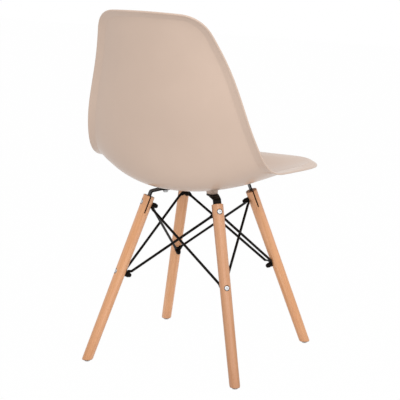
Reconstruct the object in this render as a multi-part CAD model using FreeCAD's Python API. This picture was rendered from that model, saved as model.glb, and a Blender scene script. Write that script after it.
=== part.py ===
import FreeCAD, Part
import math
import os

# Moulded plastic shell chair on four splayed dowel legs with crossed steel rods between them.
# Millimetres, +Z up, the floor at Z = 0. The sitter faces -Y, so the sitter's left is +X.
# The leg frame is built round its own centre; the last step moves the whole chair along Y
# so that the origin is on the floor, under the middle of the bounding box.

Vec = FreeCAD.Vector

# Legs: round dowels, thicker at the top, leaning outwards along the diagonals
LEG_TOP_HEIGHT = 385.0
LEG_TOP_RADIUS = 123.8
LEG_SPLAY_DEG = 21.0
LEG_TOP_DIAMETER = 26.6
LEG_FOOT_DIAMETER = 23.8
LEG_TOP_EASING = 1.2
LEG_FOOT_CHAMFER = 3.2
LEG_SLOT_DEPTH = 41.0
SLOT_CLEARANCE = 0.1

# Leg bolts, measured down the leg from its top, with their heads sunk into the outer side
UPPER_BOLT_DROP = 18.0
LOWER_BOLT_DROP = 190.0
BOLT_DIAMETER = 5.9
BOLT_HOLE_CLEARANCE = 0.25
BOLT_HEAD_DIAMETER = 10.8
BOLT_HEAD_HEIGHT = 2.8
BOLT_HEAD_ROUND = 1.0
COUNTERBORE_CLEARANCE = 1.3
COUNTERBORE_DEPTH = 3.4
DRIVE_WIDTH = 1.3
DRIVE_LENGTH = 5.2
DRIVE_DEPTH = 1.6

# Domed cap nuts on the inner side of each leg
NUT_ACROSS_FLATS = 11.0
NUT_HEX_HEIGHT = 6.0
NUT_SHOULDER = 0.4
NUT_DOME_HEIGHT = 5.4
NUT_DOME_ROUND = 4.3
NUT_BORE_DEPTH = 8.0
THREAD_CLEARANCE = 0.05
BOLT_END_GAP = 0.8

# Brace rods with flattened, drilled ends
ROD_DIAMETER = 6.0
ROD_CROSSING_GAP = 0.3
TAB_THICKNESS = 2.0
TAB_WIDTH = 12.0
TAB_NECK_WIDTH = 10.0
TAB_SHOULDER = 3.0
TAB_NECK_LENGTH = 7.0
TAB_NECK_RISE = 0.8
TAB_STANDOFF = 0.06
TAB_SAG_DEG = 6.0

# Brackets: bent steel straps from the seat bosses down into the leg slots. The front pair
# stands higher, because the seat rises towards the front.
REAR_BRACKET_RISE = 16.5
FRONT_BRACKET_RISE = 26.0
REAR_BEND_RISE = 11.5
FRONT_BEND_RISE = 21.5
BRACKET_REACH = 38.8
STRAP_NARROW_WIDTH = 19.0
STRAP_THICKNESS = 3.0
STRAP_PAD_DIAMETER = 26.0
STRAP_PAD_RUN = 12.0
STRAP_BEND_RADIUS = 5.0
STRAP_END_GAP = 3.0

# Seat bosses under the shell, with threaded inserts, bolts and washers
BOSS_FACE_DIAMETER = 26.0
BOSS_DRAFT_DEG = 4.0
BOSS_EDGE_ROUND = 3.0
INSERT_DIAMETER = 9.0
INSERT_LENGTH = 8.0
INSERT_CLEARANCE = 0.02
SEAT_BOLT_DIAMETER = 5.9
SEAT_BOLT_CLEARANCE = 0.3
SEAT_BOLT_HEAD_DIAMETER = 12.2
SEAT_BOLT_HEAD_HEIGHT = 5.6
SEAT_BOLT_HEAD_ROUND = 3.2
SEAT_BOLT_SOCKET_DIAMETER = 4.0
SEAT_BOLT_SOCKET_DEPTH = 2.2
SEAT_WASHER_DIAMETER = 13.6
SEAT_WASHER_THICKNESS = 1.6

# Glides under the feet, each held by a nail
GLIDE_HEIGHT = 3.6
GLIDE_DIAMETER = 15.0
GLIDE_FACE_DIAMETER = 12.0
NAIL_DIAMETER = 2.4
NAIL_HEAD_DIAMETER = 6.0
NAIL_HEAD_HEIGHT = 1.0
NAIL_HEAD_SINK = 0.4
NAIL_LENGTH = 16.0
NAIL_CLEARANCE = 0.05
NAIL_TIP_GAP = 2.0

# Shell: wall, flared rim and rounded corners
SEAT_RISE = 50.0
WALL = 4.5
FLARE_WIDTH = 17.0
FLARE_SLOPE = 0.55
FLARE_CREASE = 4.0
EDGE_ROLL_WIDTH = 6.0
EDGE_ROLL_DEPTH = 0.9
TOP_CORNER_REACH = 42.0
FRONT_CORNER_REACH = 87.0
TOP_EDGE_CROWN = 1.0
FRONT_EDGE_CROWN = 8.0
RIM_BAND_WIDTH = 70.0

# Stations along the shell from the front edge of the seat to the top edge of the back.
# For each one: how far back and up the middle of the wall is on the centre line, the same at
# the side before it flares, the half width there, and how late the side turns up: a fullness
# of 2 is an even curve, and more is flatter in the middle and steeper at the side.
# Heights are above the seat level, which is the seat rise over the leg tops.
SPINE_BACK = [-244.9, -210.0, -109.0, 0.0, 87.0, 166.0, 194.0, 215.0, 236.0, 268.9]
SPINE_UP = [3.2, 16.0, -3.0, -16.3, -20.7, -1.0, 90.0, 180.0, 284.0, 393.8]
SIDE_BACK = [-218.1, -208.6, -114.6, 12.9, 70.1, 112.2, 145.4, 165.4, 188.4, 241.2]
SIDE_UP = [18.8, 15.7, 20.9, 32.6, 39.4, 59.7, 112.6, 176.1, 276.3, 388.1]
HALF_WIDTHS = [183.3, 201.4, 220.8, 223.2, 220.2, 215.0, 204.3, 188.3, 158.2, 119.8]
FULLNESS_FACTORS = [2.6, 2.6, 2.8, 2.8, 2.45, 2.05, 2.3, 2.2, 2.1, 2.1]

# How finely the shell's smooth surfaces are measured out
ROWS_ALONG = 34
COLUMNS_ACROSS = 15
OUTLINE_STEPS = 40
STEPS_PER_BEND = 4
FLANGE_SHARES = [0.35, 0.7]
STEPS_BEYOND_FLARE = [1.5, 4.0, 9.0, 19.0, 33.0]
LIP_STEPS = 6
SLOPE_STEP = 0.5
SEWING_GAP = 0.05
EDGE_TOLERANCE = 0.01

# Heights and radii that follow from the sizes above
BOSS_RADIUS_FROM_CENTRE = LEG_TOP_RADIUS - BRACKET_REACH
SEAT_LEVEL = LEG_TOP_HEIGHT + SEAT_RISE
BOLT_HOLE_DIAMETER = BOLT_DIAMETER + 2.0 * BOLT_HOLE_CLEARANCE
SEAT_BOLT_HOLE_DIAMETER = SEAT_BOLT_DIAMETER + 2.0 * SEAT_BOLT_CLEARANCE
TAB_FLAT_LENGTH = TAB_WIDTH / 2.0 + TAB_SHOULDER
TAB_REACH = TAB_FLAT_LENGTH + TAB_NECK_LENGTH
GLIDE_RECESS_DEPTH = NAIL_HEAD_SINK + NAIL_HEAD_HEIGHT
CREASE_START = FLARE_WIDTH - FLARE_CREASE

# Where an arc's middle lies along each of its two square directions, as a share of its radius
ARC_MIDDLE_SHARE = math.sqrt(0.5)

CORNERS = [("front_left", -45.0), ("rear_left", 45.0), ("rear_right", 135.0), ("front_right", 225.0)]
SIDES = ["left", "rear", "right", "front"]


# Smooth curve through given values, with no bend at its two ends

def smooth_curve(places, values):
    count = len(places)
    gaps = [places[i + 1] - places[i] for i in range(count - 1)]
    bends = [0.0] * count
    weights = [0.0] * count
    for i in range(1, count - 1):
        slope_change = (values[i + 1] - values[i]) / gaps[i] - (values[i] - values[i - 1]) / gaps[i - 1]
        pivot = 2.0 * (gaps[i - 1] + gaps[i]) - gaps[i - 1] * weights[i - 1]
        weights[i] = gaps[i] / pivot
        bends[i] = (6.0 * slope_change - gaps[i - 1] * bends[i - 1]) / pivot
    bends[-1] = 0.0
    for i in range(count - 2, 0, -1):
        bends[i] -= weights[i] * bends[i + 1]

    def value(place):
        i = 0
        while i < count - 2 and place > places[i + 1]:
            i += 1
        gap = gaps[i]
        near = (places[i + 1] - place) / gap
        far = (place - places[i]) / gap
        curve = (near ** 3 - near) * bends[i] + (far ** 3 - far) * bends[i + 1]
        return near * values[i] + far * values[i + 1] + curve * gap * gap / 6.0

    return value


def station_places():
    places = [0.0]
    for i in range(1, len(SPINE_BACK)):
        step = math.hypot(SPINE_BACK[i] - SPINE_BACK[i - 1], SPINE_UP[i] - SPINE_UP[i - 1])
        places.append(places[-1] + step)
    return places


PLACES = station_places()
SHELL_LENGTH = PLACES[-1]
spine_back = smooth_curve(PLACES, SPINE_BACK)
spine_up = smooth_curve(PLACES, SPINE_UP)
side_back = smooth_curve(PLACES, SIDE_BACK)
side_up = smooth_curve(PLACES, SIDE_UP)
half_width = smooth_curve(PLACES, HALF_WIDTHS)
fullness = smooth_curve(PLACES, FULLNESS_FACTORS)


# The shell's surface: a point is given by its distance across from the centre line
# and its distance along from the front edge

def wall_point(across, along):
    front_share = 1.0 - along / SHELL_LENGTH
    front_bow = FRONT_EDGE_CROWN * (across / half_width(0.0)) ** 2
    top_bow = TOP_EDGE_CROWN * (across / half_width(SHELL_LENGTH)) ** 2
    place = along + front_bow * front_share - top_bow * (1.0 - front_share)
    lift = (abs(across) / half_width(place)) ** fullness(place)
    back = spine_back(place) + (side_back(place) - spine_back(place)) * lift
    up = spine_up(place) + (side_up(place) - spine_up(place)) * lift
    return Vec(across, back, SEAT_LEVEL + up)


def wall_normal(across, along):
    sideways = wall_point(across + SLOPE_STEP, along) - wall_point(across - SLOPE_STEP, along)
    lengthways = wall_point(across, along + SLOPE_STEP) - wall_point(across, along - SLOPE_STEP)
    return sideways.cross(lengthways).normalize()


# Outline of the shell laid flat: straight ends, curved sides and soft corners

def corner_curve(side_along, end_along, reach):
    side_x = half_width(side_along)
    slope = (half_width(side_along + SLOPE_STEP) - half_width(side_along - SLOPE_STEP)) / (2.0 * SLOPE_STEP)
    tip_x = side_x + slope * (end_along - side_along)
    points = []
    for step in range(OUTLINE_STEPS + 1):
        t = step / OUTLINE_STEPS
        x = (1 - t) ** 2 * side_x + 2 * t * (1 - t) * tip_x + t ** 2 * (tip_x - reach)
        y = (1 - t) ** 2 * side_along + (2 * t * (1 - t) + t ** 2) * end_along
        points.append((x, y))
    return points


def evenly(points, count):
    lengths = [0.0]
    for one, two in zip(points, points[1:]):
        lengths.append(lengths[-1] + math.hypot(two[0] - one[0], two[1] - one[1]))
    picked = []
    for index in range(count):
        target = lengths[-1] * index / (count - 1)
        k = 0
        while k < len(lengths) - 2 and lengths[k + 1] < target:
            k += 1
        share = (target - lengths[k]) / (lengths[k + 1] - lengths[k])
        x = points[k][0] + (points[k + 1][0] - points[k][0]) * share
        y = points[k][1] + (points[k + 1][1] - points[k][1]) * share
        picked.append((x, y))
    return picked


def mirrored(points):
    return [(-x, y) for x, y in reversed(points)]


def outline_sides():
    top_start = SHELL_LENGTH - TOP_CORNER_REACH
    top_corner = corner_curve(top_start, SHELL_LENGTH, TOP_CORNER_REACH)
    front_corner = corner_curve(FRONT_CORNER_REACH, 0.0, FRONT_CORNER_REACH)
    middle = OUTLINE_STEPS // 2
    side_steps = 4 * OUTLINE_STEPS
    side = []
    for step in range(1, side_steps):
        along = FRONT_CORNER_REACH + (top_start - FRONT_CORNER_REACH) * step / side_steps
        side.append((half_width(along), along))
    right = list(reversed(front_corner[:middle + 1])) + side + top_corner[:middle + 1]
    top = top_corner[middle:] + mirrored(top_corner[middle:])
    front = front_corner[middle:] + mirrored(front_corner[middle:])
    return right, top, front


def inner_point(row, column):
    along = RIM_BAND_WIDTH + (SHELL_LENGTH - 2.0 * RIM_BAND_WIDTH) * row / (ROWS_ALONG - 1)
    edge = half_width(along) - RIM_BAND_WIDTH
    return (edge * (1.0 - 2.0 * column / (COLUMNS_ACROSS - 1)), along)


# The rim is flared away from the sitter: a crease, a straight flange, then a rolled edge.
# For a distance from the rim this gives how far the wall is set back, and its slope.

def flare_at(away):
    run = max(0.0, FLARE_WIDTH - away)
    if run < FLARE_CREASE:
        depth = FLARE_SLOPE * run * run / (2.0 * FLARE_CREASE)
        slope = FLARE_SLOPE * run / FLARE_CREASE
    else:
        depth = FLARE_SLOPE * (run - FLARE_CREASE / 2.0)
        slope = FLARE_SLOPE
    near = max(0.0, 1.0 - away / EDGE_ROLL_WIDTH)
    return depth + EDGE_ROLL_DEPTH * near * near, slope + 2.0 * EDGE_ROLL_DEPTH * near / EDGE_ROLL_WIDTH


# Distances from the rim at which the flare is measured out, close together in its two bends

def rim_steps():
    shares = [step / STEPS_PER_BEND for step in range(STEPS_PER_BEND + 1)]
    roll = [EDGE_ROLL_WIDTH * share for share in shares]
    flange = [EDGE_ROLL_WIDTH + (CREASE_START - EDGE_ROLL_WIDTH) * share for share in FLANGE_SHARES]
    crease = [CREASE_START + FLARE_CREASE * share for share in shares]
    return roll + flange + crease + [FLARE_WIDTH + step for step in STEPS_BEYOND_FLARE]


RIM_STEPS = rim_steps()


# One line of the flared rim band, from the rim inwards: the middle of the wall, the direction
# towards the sitter and the direction outwards along the wall, at each step

def rim_line(flat_rim, flat_inner):
    rim = wall_point(*flat_rim)
    reach = (rim - wall_point(*flat_inner)).Length
    line = []
    for step in RIM_STEPS + [reach]:
        share = step / reach
        x = flat_rim[0] + (flat_inner[0] - flat_rim[0]) * share
        y = flat_rim[1] + (flat_inner[1] - flat_rim[1]) * share
        point = wall_point(x, y)
        normal = wall_normal(x, y)
        outward = wall_point(*flat_rim) - wall_point(*flat_inner)
        outward = (outward - normal * outward.dot(normal)).normalize()
        depth, slope = flare_at((rim - point).Length)
        flare = math.atan(slope)
        middle = point - normal * depth
        leaned = normal * math.cos(flare) + outward * math.sin(flare)
        rimward = outward * math.cos(flare) - normal * math.sin(flare)
        line.append((middle, leaned, rimward))
    return line


# A smooth face woven through a grid of points. Neighbouring faces that share a row of points
# share the same curve along it, because every curve is laid out only from its own points.

def woven_face(rows, row_places=None):
    down_places = [float(index) for index in range(len(rows))]
    across_places = row_places or [float(index) for index in range(len(rows[0]))]
    across = [curve_through(row, across_places) for row in rows]
    pole_rows = [curve.getPoles() for curve in across]
    down = [curve_through(list(column), down_places) for column in zip(*pole_rows)]
    poles = [list(row) for row in zip(*[curve.getPoles() for curve in down])]
    surface = Part.BSplineSurface()
    surface.buildFromPolesMultsKnots(poles, down[0].getMultiplicities(), across[0].getMultiplicities(),
                                     down[0].getKnots(), across[0].getKnots(), False, False, 3, 3)
    return surface.toShape()


def curve_through(points, places):
    curve = Part.BSplineCurve()
    curve.interpolate(Points=points, Parameters=places)
    return curve


def shell_body():
    faces = []
    right, top, front = outline_sides()
    last_row = ROWS_ALONG - 1
    last_column = COLUMNS_ACROSS - 1
    right_rim = evenly(right, ROWS_ALONG)
    bands = [
        [rim_line(right_rim[row], inner_point(row, 0)) for row in range(ROWS_ALONG)],
        [rim_line(flat, inner_point(last_row, column)) for column, flat in enumerate(evenly(top, COLUMNS_ACROSS))],
        [rim_line(flat, inner_point(0, column)) for column, flat in enumerate(evenly(front, COLUMNS_ACROSS))],
        [rim_line((-right_rim[row][0], right_rim[row][1]), inner_point(row, last_column))
         for row in range(ROWS_ALONG)],
    ]
    half = WALL / 2.0
    for band in bands:
        for side in (half, -half):
            faces.append(woven_face([[point + normal * side for point, normal, rimward in line]
                                     for line in band], RIM_STEPS + [RIM_BAND_WIDTH]))
        lip = []
        for line in band:
            middle, normal, rimward = line[0]
            turn = [math.pi * step / LIP_STEPS for step in range(LIP_STEPS + 1)]
            lip.append([middle + normal * (half * math.cos(angle)) + rimward * (half * math.sin(angle))
                        for angle in turn])
        faces.append(woven_face(lip))
    centre = [[inner_point(row, column) for column in range(COLUMNS_ACROSS)] for row in range(ROWS_ALONG)]
    for side in (half, -half):
        faces.append(woven_face([[wall_point(*flat) + wall_normal(*flat) * side for flat in row]
                                 for row in centre]))
    middle_face = woven_face([[wall_point(*flat) for flat in row] for row in centre])
    skin = Part.Compound(faces)
    skin.sewShape(SEWING_GAP)
    body = Part.Solid(skin.Shells[0])
    if body.Volume < 0:
        body.reverse()
    return body, middle_face


# Seat bosses

def turned(shape, angle_deg):
    copy = shape.copy()
    copy.rotate(Vec(0, 0, 0), Vec(0, 0, 1), angle_deg)
    return copy


def bracket_rises(name):
    if name.startswith("front"):
        return FRONT_BRACKET_RISE, FRONT_BEND_RISE
    return REAR_BRACKET_RISE, REAR_BEND_RISE


# Each piece under a boss is made on the +X side; face is the height of that boss's lower face

def under_boss(height):
    return Vec(BOSS_RADIUS_FROM_CENTRE, 0, height)


def boss_stock(face):
    face_radius = BOSS_FACE_DIAMETER / 2.0
    top_radius = face_radius + SEAT_RISE * math.tan(math.radians(BOSS_DRAFT_DEG))
    stock = Part.makeCone(face_radius, top_radius, SEAT_RISE, under_boss(face))
    rim = [edge for edge in stock.Edges if abs(edge.BoundBox.ZMax - face) < EDGE_TOLERANCE]
    return stock.makeFillet(BOSS_EDGE_ROUND, rim)


def insert_hole(face):
    return Part.makeCylinder(INSERT_DIAMETER / 2.0 + INSERT_CLEARANCE, INSERT_LENGTH, under_boss(face))


def seat_shell():
    body, middle_face = shell_body()
    over_wall = middle_face.extrude(Vec(0, 0, SEAT_RISE))
    for name, angle in CORNERS:
        face = LEG_TOP_HEIGHT + bracket_rises(name)[0]
        boss = turned(boss_stock(face), angle).cut(over_wall)
        body = body.fuse(boss.Solids[0])
    for name, angle in CORNERS:
        face = LEG_TOP_HEIGHT + bracket_rises(name)[0]
        body = body.cut(turned(insert_hole(face), angle))
    return body


def threaded_insert(face):
    sleeve = Part.makeCylinder(INSERT_DIAMETER / 2.0, INSERT_LENGTH, under_boss(face))
    bore = Part.makeCylinder(SEAT_BOLT_DIAMETER / 2.0 + THREAD_CLEARANCE, INSERT_LENGTH, under_boss(face))
    return sleeve.cut(bore)


def seat_washer(face):
    place = under_boss(face - STRAP_THICKNESS - SEAT_WASHER_THICKNESS)
    disc = Part.makeCylinder(SEAT_WASHER_DIAMETER / 2.0, SEAT_WASHER_THICKNESS, place)
    bore = Part.makeCylinder(SEAT_BOLT_HOLE_DIAMETER / 2.0, SEAT_WASHER_THICKNESS, place)
    return disc.cut(bore)


# Domed head: a disc whose outer edge is well rounded, drawn as half an outline and spun

def domed_head(diameter, height, rounding):
    radius = diameter / 2.0
    inset = rounding - rounding * ARC_MIDDLE_SHARE
    bend = Vec(radius - inset, 0, height - inset)
    edges = [
        Part.LineSegment(Vec(0, 0, 0), Vec(radius, 0, 0)).toShape(),
        Part.LineSegment(Vec(radius, 0, 0), Vec(radius, 0, height - rounding)).toShape(),
        Part.Arc(Vec(radius, 0, height - rounding), bend, Vec(radius - rounding, 0, height)).toShape(),
        Part.LineSegment(Vec(radius - rounding, 0, height), Vec(0, 0, height)).toShape(),
        Part.LineSegment(Vec(0, 0, height), Vec(0, 0, 0)).toShape(),
    ]
    return Part.Face(Part.Wire(edges)).revolve(Vec(0, 0, 0), Vec(0, 0, 1), 360.0)


def seat_bolt(face):
    head = domed_head(SEAT_BOLT_HEAD_DIAMETER, SEAT_BOLT_HEAD_HEIGHT, SEAT_BOLT_HEAD_ROUND)
    socket_floor = SEAT_BOLT_HEAD_HEIGHT - SEAT_BOLT_SOCKET_DEPTH
    socket = Part.makeCylinder(SEAT_BOLT_SOCKET_DIAMETER / 2.0, SEAT_BOLT_SOCKET_DEPTH, Vec(0, 0, socket_floor))
    head = head.cut(socket)
    head.rotate(Vec(0, 0, 0), Vec(1, 0, 0), 180.0)
    length = SEAT_WASHER_THICKNESS + STRAP_THICKNESS + INSERT_LENGTH - BOLT_END_GAP
    bolt = head.fuse(Part.makeCylinder(SEAT_BOLT_DIAMETER / 2.0, length))
    bolt.translate(under_boss(face - STRAP_THICKNESS - SEAT_WASHER_THICKNESS))
    return bolt


# Leg space: Z runs up along the leg from its top, X points outwards across it

def on_leg(shape, angle_deg):
    placed = shape.copy()
    placed.rotate(Vec(0, 0, 0), Vec(0, 1, 0), -LEG_SPLAY_DEG)
    placed.translate(Vec(LEG_TOP_RADIUS, 0, LEG_TOP_HEIGHT))
    return turned(placed, angle_deg)


def leg_length():
    return LEG_TOP_HEIGHT / math.cos(math.radians(LEG_SPLAY_DEG))


def leg_radius(drop):
    share = drop / leg_length()
    return (LEG_TOP_DIAMETER + (LEG_FOOT_DIAMETER - LEG_TOP_DIAMETER) * share) / 2.0


def bolt_bore(diameter, drop, start_x, end_x):
    return Part.makeCylinder(diameter / 2.0, end_x - start_x, Vec(start_x, 0, -drop), Vec(1, 0, 0))


def leg(angle):
    spare = LEG_FOOT_DIAMETER
    length = leg_length() + spare
    dowel = Part.makeCone(leg_radius(length), leg_radius(0.0), length, Vec(0, 0, -length), Vec(0, 0, 1))
    top_edge = [edge for edge in dowel.Edges if abs(edge.BoundBox.ZMin) < EDGE_TOLERANCE]
    dowel = dowel.makeChamfer(LEG_TOP_EASING, top_edge)
    slot_width = STRAP_THICKNESS + 2.0 * SLOT_CLEARANCE
    slot_side = LEG_TOP_DIAMETER
    flat_depth = LEG_SLOT_DEPTH - slot_width / 2.0
    slot = Part.makeBox(slot_width, 2.0 * slot_side, flat_depth + spare,
                        Vec(-slot_width / 2.0, -slot_side, -flat_depth))
    slot_end = Part.makeCylinder(slot_width / 2.0, 2.0 * slot_side, Vec(0, -slot_side, -flat_depth), Vec(0, 1, 0))
    dowel = dowel.cut(slot.fuse(slot_end))
    for drop in (UPPER_BOLT_DROP, LOWER_BOLT_DROP):
        surface = leg_radius(drop)
        dowel = dowel.cut(bolt_bore(BOLT_HOLE_DIAMETER, drop, -2.0 * surface, 2.0 * surface))
        floor = surface - COUNTERBORE_DEPTH
        mouth = BOLT_HEAD_DIAMETER + 2.0 * COUNTERBORE_CLEARANCE
        dowel = dowel.cut(bolt_bore(mouth, drop, floor, 2.0 * surface))
    placed = on_leg(dowel, 0.0)
    foot_x = LEG_TOP_RADIUS + LEG_TOP_HEIGHT * math.tan(math.radians(LEG_SPLAY_DEG))
    floor_block = Part.makeBox(4.0 * spare, 4.0 * spare, 4.0 * spare,
                               Vec(foot_x - 2.0 * spare, -2.0 * spare, GLIDE_HEIGHT - 4.0 * spare))
    placed = placed.cut(floor_block)
    foot_edge = [edge for edge in placed.Edges if abs(edge.BoundBox.ZMax - GLIDE_HEIGHT) < EDGE_TOLERANCE]
    placed = placed.makeChamfer(LEG_FOOT_CHAMFER, foot_edge)
    return turned(placed.cut(nail_pilot()), angle)


def leg_bolt(drop, angle):
    surface = leg_radius(drop)
    floor = surface - COUNTERBORE_DEPTH
    head = domed_head(BOLT_HEAD_DIAMETER, BOLT_HEAD_HEIGHT, BOLT_HEAD_ROUND)
    for quarter in (0.0, 90.0):
        blade = Part.makeBox(DRIVE_LENGTH, DRIVE_WIDTH, DRIVE_DEPTH,
                             Vec(-DRIVE_LENGTH / 2.0, -DRIVE_WIDTH / 2.0, BOLT_HEAD_HEIGHT - DRIVE_DEPTH))
        blade.rotate(Vec(0, 0, 0), Vec(0, 0, 1), quarter)
        head = head.cut(blade)
    head.rotate(Vec(0, 0, 0), Vec(0, 1, 0), 90.0)
    head.translate(Vec(floor, 0, -drop))
    shank_end = -nut_seat(drop) - NUT_BORE_DEPTH + BOLT_END_GAP
    return on_leg(head.fuse(bolt_bore(BOLT_DIAMETER, drop, shank_end, floor)), angle)


def nut_seat(drop):
    return leg_radius(drop) + 2.0 * TAB_THICKNESS + 2.0 * TAB_STANDOFF


def cap_nut(drop, angle):
    hexagon = []
    for corner in range(7):
        turn = math.radians(60.0 * corner + 30.0)
        reach = NUT_ACROSS_FLATS / 2.0 / math.cos(math.radians(30.0))
        hexagon.append(Vec(reach * math.cos(turn), reach * math.sin(turn), 0))
    prism = Part.Face(Part.makePolygon(hexagon)).extrude(Vec(0, 0, NUT_HEX_HEIGHT))
    dome = domed_head(NUT_ACROSS_FLATS - 2.0 * NUT_SHOULDER, NUT_DOME_HEIGHT, NUT_DOME_ROUND)
    dome.translate(Vec(0, 0, NUT_HEX_HEIGHT))
    nut = prism.fuse(dome)
    bore = Part.makeCylinder(BOLT_DIAMETER / 2.0 + THREAD_CLEARANCE, NUT_BORE_DEPTH)
    nut = nut.cut(bore)
    nut.rotate(Vec(0, 0, 0), Vec(0, 1, 0), -90.0)
    nut.translate(Vec(-nut_seat(drop), 0, -drop))
    return on_leg(nut, angle)


# Bracket: seen from above, the strap narrows from its round pad to the bend, and its two
# sides touch the pad's circle

def strap_blank(bend_x):
    radius = STRAP_PAD_DIAMETER / 2.0
    run = bend_x - BOSS_RADIUS_FROM_CENTRE
    narrow = STRAP_NARROW_WIDTH / 2.0
    turn = math.atan2(narrow, run) + math.acos(radius / math.hypot(run, narrow))
    touch_x = BOSS_RADIUS_FROM_CENTRE + radius * math.cos(turn)
    touch_y = radius * math.sin(turn)
    far_x = LEG_TOP_RADIUS + LEG_SLOT_DEPTH
    corners = [Vec(BOSS_RADIUS_FROM_CENTRE, touch_y, 0), Vec(touch_x, touch_y, 0), Vec(bend_x, narrow, 0)]
    corners.append(Vec(far_x, narrow, 0))
    corners.extend([Vec(corner.x, -corner.y, 0) for corner in reversed(corners)])
    return Part.Face(Part.makePolygon(corners + [corners[0]])).extrude(Vec(0, 0, 2.0 * LEG_TOP_HEIGHT))


# The strap's centre line runs out under the boss, then down into the slot

def bracket(face, bend_rise):
    splay = math.radians(LEG_SPLAY_DEG)
    start = under_boss(face - STRAP_THICKNESS / 2.0)
    pad_end = start + Vec(STRAP_PAD_RUN, 0, 0)
    bend = Vec(LEG_TOP_RADIUS - bend_rise * math.sin(splay), 0, LEG_TOP_HEIGHT + bend_rise * math.cos(splay))
    sunk = LEG_SLOT_DEPTH - STRAP_END_GAP
    foot = Vec(LEG_TOP_RADIUS + sunk * math.sin(splay), 0, LEG_TOP_HEIGHT - sunk * math.cos(splay))
    path = rounded_path([start, pad_end, bend, foot], STRAP_BEND_RADIUS)
    outer = [point + side * (STRAP_THICKNESS / 2.0) for point, side in path]
    inner = [point - side * (STRAP_THICKNESS / 2.0) for point, side in path]
    strap = strap_outline(outer, inner).extrude(Vec(0, STRAP_PAD_DIAMETER, 0))
    strap.translate(Vec(0, -STRAP_PAD_DIAMETER / 2.0, 0))
    strap = strap.common(strap_blank(bend.x))
    pad_place = under_boss(face - STRAP_THICKNESS)
    pad = Part.makeCylinder(STRAP_PAD_DIAMETER / 2.0, STRAP_THICKNESS, pad_place)
    shape = strap.fuse(pad).removeSplitter()
    shape = shape.cut(Part.makeCylinder(SEAT_BOLT_HOLE_DIAMETER / 2.0, STRAP_THICKNESS, pad_place))
    bolt_hole = bolt_bore(BOLT_HOLE_DIAMETER, UPPER_BOLT_DROP, -LEG_TOP_DIAMETER, LEG_TOP_DIAMETER)
    return shape.cut(on_leg(bolt_hole, 0.0))


# Points along a path in the XZ plane with rounded corners; each corner gives the start,
# middle and end of its arc. Every point comes with the direction square to the path.

def rounded_path(points, radius):
    def square_to(direction):
        return Vec(-direction.z, 0, direction.x)

    first = (points[1] - points[0]).normalize()
    path = [(points[0], square_to(first))]
    for before, corner, after in zip(points, points[1:], points[2:]):
        arrive = Vec(corner - before).normalize()
        leave = Vec(after - corner).normalize()
        turn = arrive.getAngle(leave)
        setback = radius * math.tan(turn / 2.0)
        entry = corner - arrive * setback
        exit_point = corner + leave * setback
        inwards = Vec(leave - arrive).normalize()
        centre = corner + inwards * (radius / math.cos(turn / 2.0))
        middle = centre - inwards * radius
        middle_direction = Vec(arrive + leave).normalize()
        path.append((entry, square_to(arrive)))
        path.append((middle, square_to(middle_direction)))
        path.append((exit_point, square_to(leave)))
    last = Vec(points[-1] - points[-2]).normalize()
    path.append((points[-1], square_to(last)))
    return path


def strap_outline(outer, inner):
    def one_side(points):
        edges = [Part.LineSegment(points[0], points[1]).toShape()]
        for k in range(1, len(points) - 1, 3):
            edges.append(Part.Arc(points[k], points[k + 1], points[k + 2]).toShape())
            edges.append(Part.LineSegment(points[k + 2], points[k + 3]).toShape())
        return edges

    edges = one_side(outer)
    edges.append(Part.LineSegment(outer[-1], inner[-1]).toShape())
    edges.extend(one_side(inner))
    edges.append(Part.LineSegment(inner[0], outer[0]).toShape())
    return Part.Face(Part.Wire(Part.__sortEdges__(edges)))


# Brace rods

def leg_direction(local, angle_deg):
    splay = math.radians(LEG_SPLAY_DEG)
    turn = math.radians(angle_deg)
    radial = local.x * math.cos(splay) - local.z * math.sin(splay)
    up = local.x * math.sin(splay) + local.z * math.cos(splay)
    return Vec(radial * math.cos(turn) - local.y * math.sin(turn),
               radial * math.sin(turn) + local.y * math.cos(turn), up)


def leg_point(local, angle_deg):
    turn = math.radians(angle_deg)
    top = Vec(LEG_TOP_RADIUS * math.cos(turn), LEG_TOP_RADIUS * math.sin(turn), LEG_TOP_HEIGHT)
    return top + leg_direction(local, angle_deg)


# Where a rod is bolted: its hole's centre and the way its flat end faces, away from the leg

def tab_seat(drop, layer, angle_deg):
    depth = leg_radius(drop) + TAB_STANDOFF + layer * (TAB_THICKNESS + TAB_STANDOFF) + TAB_THICKNESS / 2.0
    hole = leg_point(Vec(-depth, 0, -drop), angle_deg)
    return hole, leg_direction(Vec(-1, 0, 0), angle_deg)


def in_plane(direction, normal):
    return Vec(direction - normal * direction.dot(normal)).normalize()


# Four-sided ring of edges, either the flat end's rectangle or the rod's circle

def ring_wire(centre, normal, wide, half_wide, half_thick, is_round):
    thick = normal.cross(wide)
    if is_round:
        corners = []
        middles = []
        for quarter in range(4):
            turn = math.radians(45.0 + 90.0 * quarter)
            corners.append(centre + wide * (half_wide * math.cos(turn)) + thick * (half_wide * math.sin(turn)))
            turn += math.radians(45.0)
            middles.append(centre + wide * (half_wide * math.cos(turn)) + thick * (half_wide * math.sin(turn)))
        edges = [Part.Arc(corners[k], middles[k], corners[(k + 1) % 4]).toShape() for k in range(4)]
        return Part.Wire(edges)
    signs = [(1, 1), (-1, 1), (-1, -1), (1, -1), (1, 1)]
    corners = [centre + wide * (half_wide * a) + thick * (half_thick * b) for a, b in signs]
    return Part.makePolygon(corners)


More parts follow.
